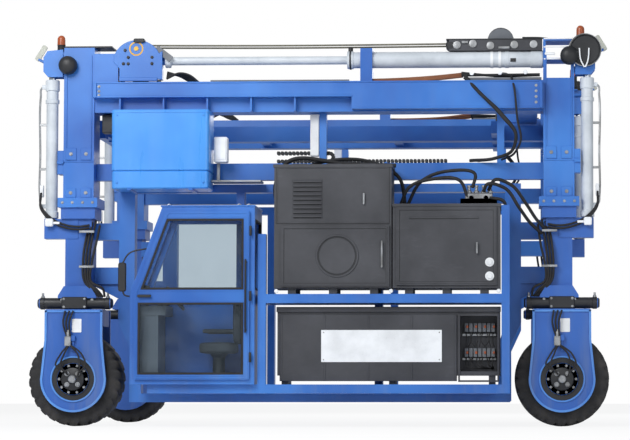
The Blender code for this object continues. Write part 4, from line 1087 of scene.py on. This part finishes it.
# legs: lift cylinders, steering gear, bolted pads
liftX, liftDepth = wheelX + 0.326, 1.95
liftLow, liftHigh = span("lift_cylinder_front_near", 2)
legX, sleeveFace = wheelX - 0.03, 2.043
sleeveLow, sleeveHigh = span("sleeve_front_near", 2)
lift = {"radius": 0.074, "bore": 0.05, "gland": 0.088, "clamp": 1.46, "pipe": 0.15}
for end, side in corners:
    corner, x, out = f"{end}_{side}", ends[end], sides[side]
    lower = f"{side}_side"
    tall = liftHigh - liftLow
    barrel = [(0.0, 0.0), (0.05, 0.0), (0.086, 0.015), (0.086, 0.09), (lift["radius"], 0.10),
              (lift["radius"], lift["clamp"]),
              (0.086, lift["clamp"] + 0.005), (0.086, lift["clamp"] + 0.05),
              (lift["radius"], lift["clamp"] + 0.055),
              (lift["radius"], tall - 0.14), (lift["gland"], tall - 0.135), (lift["gland"], tall - 0.01),
              (0.08, tall), (lift["bore"], tall), (lift["bore"], 0.12), (0.0, 0.12)]
    centre = (x * liftX, across(side, liftDepth), liftLow)
    piece(f"lift_barrel_{corner}", lower, "cylinderGrey", [
        turned(barrel, centre, "z", 36),
        brick((x * liftX + x * 0.06, x * liftX + x * 0.13), (centre[1] - 0.025, centre[1] + 0.025),
              (liftLow + 0.14, liftLow + 0.19), 0.004),
        brick((x * liftX + x * 0.06, x * liftX + x * 0.13), (centre[1] - 0.025, centre[1] + 0.025),
              (liftHigh - 0.11, liftHigh - 0.06), 0.004),
    ], 35.0, [f"lift_cylinder_{corner}"])
    piece(f"lift_rod_{corner}", "upper_frame", "chrome", [
        turned([(0.0, 0.0), (0.0465, 0.0), (0.0465, 1.60), (0.0, 1.60)],
               (centre[0], centre[1], liftLow + 0.21), "z", 28)
    ])
    eye = [
        turned([(0.04, -0.065), (0.085, -0.065), (0.09, -0.055), (0.09, 0.055), (0.085, 0.065),
                (0.04, 0.065)],
               (centre[0], centre[1], liftHigh + 0.13), "y", 28, True),
        turned([(0.0, -0.085), (0.04, -0.085), (0.04, 0.085), (0.0, 0.085)],
               (centre[0], centre[1], liftHigh + 0.13), "y", 20),
    ]
    for depth in (-0.09, 0.09):
        cheekY = centre[1] + depth
        shape = [(liftX - 0.15, liftHigh + 0.38), (liftX + 0.05, liftHigh + 0.36),
                 (liftX + 0.10, liftHigh + 0.28),
                 (liftX + 0.10, liftHigh + 0.10), (liftX + 0.04, liftHigh + 0.03),
                 (liftX - 0.15, liftHigh + 0.03)]
        eye.append(slab([(x * u, v) for u, v in shape], cheekY - 0.01, cheekY + 0.01, 0.003))
    piece(f"rod_eye_{corner}", "upper_frame", "frameBlue", eye)
    if end == "rear":
        lampZ, lampX = liftHigh + 0.33, x * (liftX - 0.03)
        lampY = centre[1] + out * 0.115
        piece(f"side_lamp_{side}", "upper_frame", "darkPlastic", [
            moved(turned([(0.0, 0.0), (0.19, 0.0), (0.20, 0.012), (0.20, 0.05), (0.185, 0.055),
                          (0.175, 0.04), (0.0, 0.04)], (0, 0, 0), "y", 48),
                  np.diag([1, out, 1]), (lampX, lampY, lampZ))])
        piece(f"side_lamp_ring_{side}", "upper_frame", "steel", [
            moved(turned([(0.199, 0.01), (0.207, 0.01), (0.207, 0.048), (0.199, 0.048)],
                         (0, 0, 0), "y", 48, True),
                  np.diag([1, out, 1]), (lampX, lampY, lampZ))])
        piece(f"side_lamp_strap_{side}", "upper_frame", "white", [
            hose([(lampX + u, lampY + out * 0.06, lampZ + 0.02),
                  (lampX + u * 0.7, lampY + out * 0.066, lampZ - 0.14),
                  (lampX + u * 0.1, lampY + out * 0.064, lampZ - 0.22)], 0.009, 8, 20)
            for u in (-0.07, 0.05)])
    pipeX = x * (liftX + lift["pipe"])
    pipe = [hose([(x * (liftX + 0.12), centre[1], liftLow + 0.165),
                  (pipeX - x * 0.01, centre[1], liftLow + 0.19),
                  (pipeX, centre[1], liftLow + 0.28), (pipeX, centre[1], liftLow + 0.8),
                  (pipeX, centre[1], liftHigh - 0.2), (pipeX - x * 0.01, centre[1], liftHigh - 0.10),
                  (x * (liftX + 0.12), centre[1], liftHigh - 0.085)], 0.013, 8, 60)]
    pipe += [brick((x * (liftX + 0.06), x * (liftX + 0.165)), (centre[1] - 0.012, centre[1] + 0.012),
                   (z, z + 0.03), 0.003)
             for z in (liftLow + 0.62, liftLow + 1.18)]
    piece(f"lift_pipe_{corner}", lower, "steel", pipe)
    gearZ = span(f"fork_{corner}", 2)[1] + 0.075
    gearY = across(side, wheelOut + 0.17)
    gear = [(0.0, -0.47), (0.05, -0.47), (0.062, -0.455), (0.062, -0.44), (0.076, -0.435), (0.076, -0.385),
            (0.07, -0.38),
            (0.07, 0.38), (0.076, 0.385), (0.076, 0.435), (0.062, 0.44), (0.062, 0.455), (0.05, 0.47),
            (0.0, 0.47)]
    piece(f"steering_gear_{corner}", lower, "darkPlastic", [
        turned(gear, (x * wheelX, gearY, gearZ), "x", 28),
        brick(around(x * wheelX, 0.16), (gearY - out * 0.02, gearY + out * 0.085),
              (gearZ - 0.07, gearZ + 0.08), 0.01, 0.02),
    ])
    piece(f"gear_ports_{corner}", lower, "steel", [
        *[turned([(0.0, 0.0), (0.022, 0.0), (0.022, 0.02), (0.014, 0.03), (0.014, 0.06), (0.0, 0.06)],
                 (x * wheelX + shift, gearY, gearZ + 0.07), "z", 12) for shift in (-0.41, 0.41)],
        *bolts([(x * wheelX + u, gearY + out * 0.085, gearZ + v)
                for u in (-0.13, 0.13) for v in (-0.045, 0.055)], "y", 0.012, out),
    ])
    faceY = across(side, sleeveFace)
    pads, heads = [], []
    for low, high in ((sleeveLow + 0.60, sleeveLow + 0.75), (sleeveLow + 0.125, sleeveLow + 0.245)):
        for u in (-0.095, 0.095):
            pads.append(brick(around(x * legX + u, 0.066), (faceY - out * 0.002, faceY + out * 0.014),
                              (low, high), 0.003))
            heads += bolts([(x * legX + u, faceY + out * 0.014, (low + high) / 2)], "y", 0.018, out)
    pads.append(brick(around(x * legX, 0.193), (faceY, faceY + out * 0.01),
                      (sleeveLow + 0.575, sleeveLow + 0.590), 0.002))
    pads.append(brick((x * legX - 0.165, x * legX - 0.15), (faceY, faceY + out * 0.012),
                      (sleeveLow + 0.76, sleeveHigh - 0.10), 0.002))
    pads.append(brick((x * legX + 0.15, x * legX + 0.165), (faceY, faceY + out * 0.012),
                      (sleeveLow + 0.76, sleeveHigh - 0.10), 0.002))
    collarY = across(side, sleeveFace + 0.057)
    heads += bolts([(x * legX + u, collarY, sleeveLow + 0.06) for u in (-0.19, -0.065, 0.065, 0.19)], "y",
                   0.014, out)
    piece(f"sleeve_pads_{corner}", "upper_frame", "frameBlue", pads)
    piece(f"sleeve_bolts_{corner}", "upper_frame", "steel", heads)
    piece(f"barrel_guide_{corner}", "upper_frame", "frameBlue", [
        brick((x * (legX + 0.19), x * (liftX - 0.085)), (centre[1] - 0.09, centre[1] + 0.09),
              (sleeveLow + 0.42, sleeveLow + 0.72), 0.006),
        brick((x * (legX + 0.19), x * (liftX - 0.085)), (centre[1] - 0.12, centre[1] + 0.12),
              (sleeveLow + 0.55, sleeveLow + 0.59), 0.004),
    ])
    baseZ = span(f"leg_{corner}", 2)[0] + 0.14
    piece(f"base_bolts_{corner}", lower, "steel", bolts(
        [(x * legX + u, across(side, 1.85 + 0.228), baseZ - 0.02) for u in (-0.19, 0.19)], "y", 0.014, out))

# lamps on the upper corners
lampStyle = {"disc": 0.115, "paddleTilt": 0.55}
for end, side in corners:
    corner, x, out = f"{end}_{side}", ends[end], sides[side]
    low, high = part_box(f"corner_lamp_{corner}")
    middle = (low.y + high.y) / 2
    armZ = high.z - 0.36
    tip = max(abs(low.x), abs(high.x))
    foot = min(abs(low.x), abs(high.x))
    arm = [
        hose([(x * foot, middle, armZ - 0.02), (x * (foot + 0.2), middle, armZ - 0.02),
              (x * (tip - 0.06), middle, armZ + 0.06)], 0.018, 10, 16),
        brick((x * foot, x * (foot + 0.03)), around(middle, 0.06), (armZ - 0.12, armZ + 0.05), 0.004),
        brick((x * foot, x * (foot + 0.14)), around(middle, 0.03), (armZ + 0.04, armZ + 0.055), 0.003),
    ]
    piece(f"lamp_arm_{corner}", "upper_frame", "frameBlue", arm, 35.0,
          [f"corner_lamp_{corner}"])
    beaconX = x * (foot + 0.085)
    beaconZ = high.z - 0.28
    piece(f"beacon_base_{corner}", "upper_frame", "darkPlastic", [
        turned([(0.0, 0.0), (0.055, 0.0), (0.057, 0.03), (0.05, 0.05), (0.05, 0.15), (0.054, 0.16),
                (0.0, 0.16)],
               (beaconX, middle, beaconZ), "z", 24),
    ])
    dome = np.linspace(0, math.pi / 2, 8)
    piece(f"beacon_dome_{corner}", "upper_frame", "amber", [
        turned([(0.0, 0.16), (0.052, 0.16),
                *[(0.05 * math.cos(a), 0.235 + 0.05 * math.sin(a)) for a in dome]],
               (beaconX, middle, beaconZ), "z", 28),
    ])
    disc = lampStyle["disc"]
    discX = x * (foot - 0.06)
    piece(f"round_lamp_{corner}", "upper_frame", "darkPlastic", [
        turned([(0.0, -0.08), (0.05, -0.075), (0.095, -0.05), (disc, -0.01), (disc, 0.045),
                (disc - 0.012, 0.05), (disc - 0.016, 0.03),
                (0.0, 0.03)], (discX, across(side, 2.12), armZ - 0.06), "y", 36),
        brick(around(discX, 0.05), sorted(depths(side, 2.02, 2.12)), (armZ - 0.04, armZ + 0.03), 0.006),
    ])
    paddleTurn = aboutY(-x * lampStyle["paddleTilt"], (x * (tip - 0.09), middle, armZ + 0.13))
    paddle = brick((x * (tip - 0.09) - 0.035, x * (tip - 0.09) + 0.035), around(middle, 0.008),
                   (armZ + 0.03, armZ + 0.25), 0.003, 0.02)
    piece(f"paddle_{corner}", "upper_frame", "paddle", [moved(paddle, *paddleTurn)])

print("legs and lamps dressed")

# top beams, hoists, sledges, ropes and rope guides
hoistLow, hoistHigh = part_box("hoist_cylinder_near")
hoistZ, hoistDepth = (hoistLow.z + hoistHigh.z) / 2, laneMid - (hoistLow.y + hoistHigh.y) / 2
beamLow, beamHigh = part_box("top_beam_near")
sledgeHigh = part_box("sledge_near")[1]
guideLow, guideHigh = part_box("rope_guide_near")
railFace = laneMid - beamLow.y
hoist = {"radius": 0.101, "bore": 0.06, "rod": 0.052, "aboveBeam": 0.30}
beamTop = hoistZ - hoist["aboveBeam"]
for side in sides:
    out = sides[side]
    at = across(side, hoistDepth)
    face = across(side, railFace)
    length = hoistHigh.x - hoistLow.x
    barrel = [(hoist["bore"], 0.0), (0.108, 0.0), (0.112, 0.008), (0.112, 0.075), (hoist["radius"], 0.08),
              (hoist["radius"], 1.98), (0.107, 1.985), (0.107, 2.03), (hoist["radius"], 2.035),
              (hoist["radius"], 2.30), (0.109, 2.305),
              (0.109, length - 0.01), (0.10, length), (0.0, length)]
    piece(f"hoist_barrel_{side}", "upper_frame", "cylinderGrey", [
        turned(barrel, (hoistLow.x, at, hoistZ), "x", 40),
    ], 35.0, [f"hoist_cylinder_{side}"])
    piece(f"hoist_fittings_{side}", "upper_frame", "darkPlastic", [
        turned([(0.0, 0.0), (0.03, 0.0), (0.03, 0.05), (0.02, 0.06), (0.0, 0.06)],
               (hoistLow.x + 0.04, at, hoistZ + 0.105), "z", 14),
        brick((hoistLow.x + 2.05, hoistLow.x + 2.12), (at + out * 0.102, at + out * 0.108),
              (hoistZ - 0.045, hoistZ + 0.0), 0.002),
        turned([(0.113, 0.0), (0.119, 0.0), (0.119, 0.02), (0.113, 0.02)], (hoistLow.x + 0.03, at, hoistZ),
               "x", 36, True),
    ])
    piece(f"hoist_bands_{side}", "upper_frame", "white", [
        turned([(0.101, x), (0.107, x), (0.107, x + 0.035), (0.101, x + 0.035)], (hoistLow.x, at, hoistZ),
               "x", 36, True)
        for x in (1.80, 1.90)])
    rodStart = hoistLow.x - 2.30
    piece(f"hoist_rod_{side}", f"sledge_{side}", "cylinderGrey", [
        turned([(0.0, 0.0), (0.08, 0.0), (0.085, 0.01), (0.085, 0.06), (0.078, 0.07), (hoist["rod"], 0.075),
                (hoist["rod"], 2.58), (0.0, 2.58)],
               (rodStart, at, hoistZ), "x", 32),
    ])
    rail = [
        brick((beamLow.x, 0.44), (face - out * 0.01, face + out * 0.012), (beamTop - 0.19, beamTop - 0.165),
              0.004),
        brick((beamLow.x, beamHigh.x), (face - out * 0.15, face + out * 0.010),
              (beamTop - 0.012, beamTop + 0.006), 0.003),
        brick((0.44, beamHigh.x), (face - out * 0.01, face + out * 0.012),
              (beamTop - 0.345, beamTop - 0.325), 0.004),
    ]
    for x in (beamLow.x + 0.03, beamHigh.x - 0.03):
        rail.append(brick(around(x, 0.02), (face - out * 0.01, face + out * 0.02),
                          (beamTop - (0.19 if x < 0 else 0.34), beamTop - 0.01), 0.004))
    piece(f"rail_edges_{side}", "upper_frame", "frameBlue", rail)
    piece(f"rail_bolts_{side}", "upper_frame", "steel", bolts(
        [(beamLow.x + 0.08, face, beamTop - z) for z in (0.05, 0.11, 0.16)]
        + [(beamHigh.x - 0.09, face, beamTop - z) for z in (0.06, 0.13, 0.20, 0.27)], "y", 0.014, out))
    # sledge: rimmed half-round cheeks, rope sheave, nuts made dark as painted shade, and a slanting guard
    middle = -2.2617
    cheek = across(side, hoistDepth + 0.13)
    topZ = sledgeHigh.z
    turn = np.linspace(0, math.pi, 25)
    low = beamTop + 0.05
    arch = np.vstack([[(middle + 0.30, low), (middle + 0.30, topZ - 0.14)],
                      np.stack([middle - 0.02 + 0.30 * np.cos(turn[3:]),
                                topZ - 0.27 + 0.27 * np.sin(turn[3:])], 1),
                      [(middle - 0.24, low + 0.14), (middle - 0.24, low)]])
    piece(f"sledge_cheek_{side}", f"sledge_{side}", "frameBlue", [
        slab(arch, *sorted((cheek - out * 0.004, cheek + out * 0.012)), 0.003),
        brick((middle + 0.26, middle + 0.30), (cheek - out * 0.10, cheek), (low, topZ - 0.16), 0.004),
        brick(around(middle, 0.24), (cheek - out * 0.002, cheek + out * 0.03),
              (beamTop + 0.03, beamTop + 0.075), 0.004),
    ])
    piece(f"sledge_sheave_{side}", f"sledge_{side}", "yellow", [
        moved(turned([(0.0, -0.004), (0.085, -0.004), (0.09, 0.002), (0.09, 0.012), (0.075, 0.016),
                      (0.07, 0.01), (0.03, 0.012), (0.028, 0.024), (0.0, 0.024)],
                     (0, 0, 0), "y", 36), np.diag([1, out, 1]), (middle - 0.03, cheek, topZ - 0.11)),
    ])
    cheek = cheek + out * 0.012
    piece(f"sledge_pads_{side}", f"sledge_{side}", "white", [
        brick(around(middle + u, 0.05), (cheek - out * 0.02, cheek - out * 0.002),
              (beamTop + 0.014, beamTop + 0.04), 0.003)
        for u in (-0.12, 0.18)])
    piece(f"sledge_slot_{side}", f"sledge_{side}", "darkPlastic", [
        brick((middle - 0.22, middle + 0.28), (cheek - out * 0.06, cheek - out * 0.012),
              (beamTop + 0.008, beamTop + 0.046), 0.003)])
    # the nuts are dark plastic, a painted shade for the dark marks round them; the block over the top shares
    # their finish
    piece(f"sledge_nuts_painted_shade_{side}", f"sledge_{side}", "darkPlastic", [
        *bolts([(middle + u, cheek, topZ - v) for u,
                v in ((-0.13, 0.22), (-0.13, 0.30), (0.17, 0.22), (0.17, 0.30), (-0.19, 0.30),
                      (-0.17, 0.13))],
               "y", 0.016, out, 1.0),
        brick((middle - 0.06, middle + 0.08), (cheek - out * 0.08, cheek + out * 0.035),
              (topZ - 0.035, topZ + 0.015), 0.008, 0.02),
    ])
    guard = brick((middle + 0.20, middle + 0.44), (cheek - out * 0.04, cheek - out * 0.02),
                  (topZ - 0.20, topZ - 0.12), 0.004)
    piece(f"sledge_guard_{side}", f"sledge_{side}", "console",
          [moved(guard, *aboutY(0.65, (middle + 0.3, cheek, topZ - 0.16)))])
    ropeZ = topZ - 0.055
    for i, (aside, drop) in enumerate(((0.035, 0.0), (-0.035, 0.02))):
        line = [(middle + 0.05, at + out * aside, ropeZ - drop),
                (-1.4, at + out * aside, ropeZ - drop - 0.006),
                (-0.3, at + out * aside, ropeZ - drop - 0.010), (0.8, at + out * aside, ropeZ - drop - 0.006),
                (guideLow.x + 0.05, at + out * aside, ropeZ - drop)]
        ropePiece(f"hoist_rope_{side}_{i}", [hose(line, 0.011, 8, 60)], f"sledge_{side}")
    # rope guide: rounded channel, rollers and the half sheave
    guideOut = across(side, hoistDepth + 0.08)
    roller = turned([(0.0, -0.006), (0.042, -0.006), (0.048, 0.002), (0.048, 0.014), (0.02, 0.018),
                     (0.0, 0.018)],
                    (0, 0, 0), "y", 24)
    spots = [(guideLow.x + u, guideOut, guideLow.z + v) for u,
             v in ((0.10, 0.07), (0.30, 0.085), (0.52, 0.06), (0.82, 0.07), (1.06, 0.075))]
    piece(f"guide_rollers_{side}", "upper_frame", "steel", [
        repeated(moved(roller, np.diag([1, out, 1])), spots),
        brick((guideLow.x + 0.62, guideLow.x + 0.76), (guideOut, guideOut + out * 0.02),
              (guideLow.z + 0.02, guideLow.z + 0.05), 0.004),
        brick((guideLow.x + 0.16, guideLow.x + 0.24), (guideOut, guideOut + out * 0.02),
              (guideLow.z + 0.09, guideLow.z + 0.12), 0.004),
    ])
    sheaveX = guideLow.x + 0.649
    piece(f"guide_sheave_{side}", "upper_frame", "console", [
        turned([(0.03, -0.032), (0.166, -0.032), (0.17, -0.026), (0.155, -0.01), (0.155, 0.01),
                (0.17, 0.026), (0.166, 0.032), (0.03, 0.032)],
               (sheaveX, at, guideHigh.z - 0.18), "y", 48, True),
    ])
    piece(f"guide_top_{side}", "upper_frame", "darkPlastic", [
        brick((guideLow.x - 0.035, guideHigh.x), around(at, 0.085), (guideLow.z + 0.135, guideLow.z + 0.15),
              0.004),
        brick((guideLow.x - 0.04, guideLow.x + 0.08), around(at, 0.083),
              (guideLow.z + 0.01, guideLow.z + 0.13), 0.02, 0.05),
        hose([(guideHigh.x - 0.25, at, guideLow.z + 0.17), (guideHigh.x, at, guideLow.z + 0.165),
              (guideHigh.x + 0.12, at, guideLow.z + 0.15)], 0.012, 8, 12),
    ])
print("hoists dressed")

# rope falls
for end, side in corners:
    corner = f"{end}_{side}"
    low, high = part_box(f"rope_fall_{corner}")
    x, y = (low.x + high.x) / 2, (low.y + high.y) / 2
    ropePiece(f"fall_{corner}",
              [hose([(x, y, high.z), (x, y, (low.z + high.z) / 2), (x, y, low.z)], 0.0138, 10, 24)],
              "upper_frame", [f"rope_fall_{corner}"])

# chain, braces and boxes on the mid beam
midZ = 3.3103
for side in sides:
    out = sides[side]
    at = across(side, 1.77)
    links = np.arange(-0.52, 1.64, 0.048)
    chain = [repeated(brick((-0.02, 0.02), (-0.05, 0.05), (-0.022, 0.022), 0.004, 0.012),
                      [(x, at, midZ + 0.029) for x in links]),
             repeated(brick((-0.02, 0.02), (-0.05, 0.05), (-0.022, 0.022), 0.004, 0.012),
                      [(x, at, midZ + 0.132) for x in links[:14]])]
    turn = np.linspace(-math.pi / 2, math.pi / 2, 7)
    chain.append(repeated(brick((-0.02, 0.02), (-0.05, 0.05), (-0.02, 0.02), 0.004, 0.01),
                          [(0.12 + 0.052 * math.cos(a), at,
                            midZ + 0.081 + 0.052 * math.sin(a)) for a in turn]))
    piece(f"hose_chain_{side}", "upper_frame", "darkPlastic", chain)
    cross = [moved(brick((-0.17, 0.17), (-0.012, 0.012), (-0.018, 0.018), 0.004),
                   *aboutY(a, (0, 0, 0))) for a in (0.62, -0.62)]
    piece(f"beam_brace_{side}", "upper_frame", "frameBlue", [
        repeated(part, [(0.72, across(side, 1.86), midZ - 0.095)]) for part in cross])
    piece(f"strut_box_{side}", "upper_frame", "white", [
        brick((-0.115, -0.005), (across(side, 1.80) - 0.05, across(side, 1.80) + 0.05), (3.40, 3.93), 0.008,
              0.015)])

# valve block, pipes and hoses over the boxes
piece("housing_pipes", "near_side", "hose", [
    hose([(-0.50, across("near", 2.10), 2.72), (-0.52, across("near", 2.14), 3.0),
          (-0.40, across("near", 2.18), 3.255),
          (0.4, across("near", 2.20), 3.26), (0.99, across("near", 2.18), 3.24)], 0.026, 12, 60),
    hose([(-0.2, across("near", 2.05), 3.22), (0.1, across("near", 2.14), 3.30),
          (0.7, across("near", 2.10), 3.285), (1.02, across("near", 2.05), 3.1),
          (1.1, across("near", 2.02), 2.74)], 0.022, 12, 60),
])
valveX, valveZ = 2.02, 2.73
piece("valve_block", "near_side", "steel", [
    brick(around(valveX, 0.17), depths("near", 2.36, 2.20), (valveZ + 0.02, valveZ + 0.15), 0.01, 0.02),
    *[turned([(0.0, 0.0), (0.03, 0.0), (0.034, 0.01), (0.034, 0.04), (0.02, 0.05), (0.02, 0.085),
              (0.026, 0.09), (0.026, 0.11), (0.0, 0.11)],
             (valveX + u, across("near", 2.28), valveZ + 0.14), "z", 14) for u in (-0.12, -0.03, 0.06, 0.14)],
    *[turned([(0.0, 0.0), (0.03, 0.0), (0.03, 0.03), (0.018, 0.04), (0.018, 0.07), (0.0, 0.07)],
             (valveX + u, across("near", 2.36), valveZ + 0.09), "y", 12) for u in (-0.09, 0.09)],
])
piece("valve_base", "near_side", "darkPlastic", [
    brick(around(valveX, 0.22), depths("near", 2.38, 2.12), (valveZ, valveZ + 0.03), 0.006, 0.02)])
thick = {"radius": 0.021, "sides": 12}
runs = [
    [(1.88, 2.34, 2.83), (1.80, 2.38, 3.02), (1.45, 2.30, 3.06), (1.15, 2.22, 2.96), (1.04, 2.16, 2.74)],
    [(2.08, 2.34, 2.90), (2.12, 2.40, 2.98), (2.34, 2.36, 2.94), (2.52, 2.30, 2.70), (2.66, 2.16, 2.52),
     (2.80, 2.05, 2.40)],
    [(2.14, 2.30, 2.92), (2.22, 2.38, 3.04), (2.42, 2.34, 2.98), (2.60, 2.26, 2.76), (2.74, 2.14, 2.56),
     (2.86, 2.04, 2.44)],
    [(1.94, 2.30, 2.95), (1.98, 2.34, 3.10), (1.62, 2.26, 3.16), (1.30, 2.18, 3.04), (1.12, 2.08, 2.74)],
    [(2.16, 2.36, 2.82), (2.32, 2.40, 2.78), (2.36, 2.30, 2.55), (2.36, 2.05, 2.40)],
]
piece("valve_hoses", "near_side", "hose", [
    hose([(x, across("near", d), z) for x, d, z in run], thick["radius"], thick["sides"],
         48) for run in runs])

# hoses down each leg to the steering gear and the hub
for end, side in corners:
    corner, x = f"{end}_{side}", ends[end]
    lower = f"{side}_side"
    legFace = 2.02
    legHoses = []
    for i, (start, aside) in enumerate(((2.58, 0.0), (2.56, 0.045), (2.50, 0.09), (2.52, -0.05))):
        legHoses.append(hose([
            (x * (2.80 + aside), across(side, 1.98), start),
            (x * (2.84 + aside), across(side, legFace + 0.05), start - 0.28),
            (x * (2.87 + aside * 0.8), across(side, legFace + 0.06), 2.05),
            (x * (2.86 + aside * 0.6), across(side, legFace + 0.07), 1.80),
            (x * (2.74 + aside), across(side, legFace + 0.05), 1.68 + i * 0.012),
            (x * (2.70 + aside * 0.5), across(side, legFace + 0.01), 1.62)],
            0.015, 10, 44))
    piece(f"leg_hoses_{corner}", lower, "hose", legHoses)
    clampZ = (2.42, 1.98)
    piece(f"leg_clips_{corner}", lower, "steel", [
        brick((x * 2.80, x * 2.99), depths(side, legFace + 0.03, legFace + 0.085), (z, z + 0.03),
              0.004) for z in clampZ])
    # pipe block outboard of the lift cylinder, with two hoses sweeping down to the leg
    blockX = x * (liftX + 0.125)
    piece(f"pipe_block_{corner}", lower, "white", [
        brick(around(blockX, 0.022), (across(side, liftDepth) - 0.035, across(side, liftDepth) + 0.035),
              (2.88, 3.03), 0.006, 0.01)])
    sweep = []
    for drop in (0.0, 0.035):
        sweep.append(hose([
            (blockX, across(side, liftDepth + 0.05), 2.93 - drop),
            (x * (liftX + 0.12), across(side, liftDepth + 0.10), 2.78 - drop),
            (x * (liftX + 0.02), across(side, liftDepth + 0.12), 2.64 - drop),
            (x * (liftX - 0.13), across(side, liftDepth + 0.12), 2.545 - drop),
            (x * (legX - 0.02), across(side, liftDepth + 0.11), 2.50 - drop),
            (x * (legX - 0.14), across(side, legFace + 0.01), 2.52 - drop)], 0.014, 10, 40))
    piece(f"sweep_hoses_{corner}", lower, "hose", sweep)
    piece(f"shoulder_lamp_{corner}", lower, "white", [
        brick(around(x * liftX, 0.05), depths(side, liftDepth + 0.11, liftDepth + 0.16), (2.50, 2.60),
              0.008, 0.02),
        brick((x * (liftX - 0.13), x * (liftX - 0.05)), depths(side, liftDepth + 0.12, liftDepth + 0.14),
              (2.53, 2.56), 0.004)])

# hoses, cable tray and clips along the top beam
for side in sides:
    out = sides[side]
    trayDepth = 2.08
    piece(f"beam_tray_{side}", "upper_frame", "console", [
        brick((1.86, 2.80), depths(side, trayDepth, trayDepth - 0.10), (beamTop + 0.02, beamTop + 0.055),
              0.004),
        brick((-1.34, 0.40), depths(side, 2.13, 2.158), (beamTop + 0.004, beamTop + 0.026), 0.003)])
    piece(f"beam_hoses_{side}", "upper_frame", "hose", [
        *[hose([(2.78, across(side, 2.06 - i * 0.03), beamTop + 0.09),
                (2.2, across(side, 2.06 - i * 0.03), beamTop + 0.085),
                (1.8, across(side, 2.08), beamTop + 0.08 + i * 0.015)], 0.017, 10, 30) for i in range(3)],
        *[hose([(1.84, across(side, 2.10 + i * 0.012), beamTop + 0.08 - i * 0.03),
                (2.00, across(side, 2.17), beamTop - 0.12),
                (2.32, across(side, 2.20), 3.86 - i * 0.02), (2.48, across(side, 2.20), 3.62),
                (2.44, across(side, 2.14), 3.44),
                (2.22, across(side, 1.98), 3.35), (2.0 - i * 0.1, across(side, 1.80), 3.34)], 0.021, 12,
               60) for i in range(2)],
        hose([(2.42, across(side, 2.06), beamTop + 0.08), (2.46, across(side, 2.19), beamTop - 0.1),
              (2.50, across(side, 2.20), 3.80),
              (2.54, across(side, 2.19), 3.55), (2.46, across(side, 2.10), 3.40),
              (2.30, across(side, 1.90), 3.34)], 0.014, 10, 50)])
    piece(f"beam_sag_{side}", "upper_frame", "brownHose", [
        hose([(1.82, across(side, 2.06 - i * 0.025), beamTop + 0.07 + i * 0.02),
              (1.45, across(side, 2.08 - i * 0.02), beamTop + 0.03 + i * 0.02),
              (0.95, across(side, 2.06 - i * 0.02), beamTop + 0.02 + i * 0.012),
              (0.55, across(side, 1.98), beamTop + 0.04)], 0.016, 10, 36)
        for i in range(3)])
    piece(f"beam_clips_{side}", "upper_frame", "white", [
        turned([(0.0, -0.02), (0.028, -0.02), (0.028, 0.02), (0.0, 0.02)],
               (x, across(side, 2.10), beamTop + z), "y", 14)
        for x, z in ((1.93, 0.105), (2.28, 0.11), (2.60, 0.115))])
    bundle = []
    for i in range(4):
        bundle.append(hose([(-1.92, across(side, 1.92 + i * 0.025), beamTop + 0.16 - i * 0.03),
                            (-1.74, across(side, 1.94 + i * 0.02), beamTop + 0.10 + i * 0.012),
                            (-1.64, across(side, 1.90 + i * 0.03), beamTop + 0.05 + i * 0.022),
                            (-1.52, across(side, 1.94), beamTop + 0.03)], 0.015, 10, 30))
    piece(f"sledge_hoses_{side}", f"sledge_{side}", "hose", bundle)
    piece(f"front_plates_{side}", "upper_frame", "darkPlastic", [
        brick((-3.20, -2.60), depths(side, 1.72, 2.03), (4.7603, 4.782), 0.004),
        brick((-2.75, -2.55), depths(side, 1.72, 1.90), (3.70, 3.93), 0.006, 0.01),
    ])
    piece(f"rear_shelves_{side}", "upper_frame", "white", [
        brick((2.83, 3.20), depths(side, 2.045, 2.052), (z, z + 0.016), 0.002) for z in (4.58, 4.73, 4.835)]
        + [brick((2.84, 2.97), depths(side, 2.05, 2.075), (4.635, 4.668), 0.006, 0.012)])
print("hoses laid")
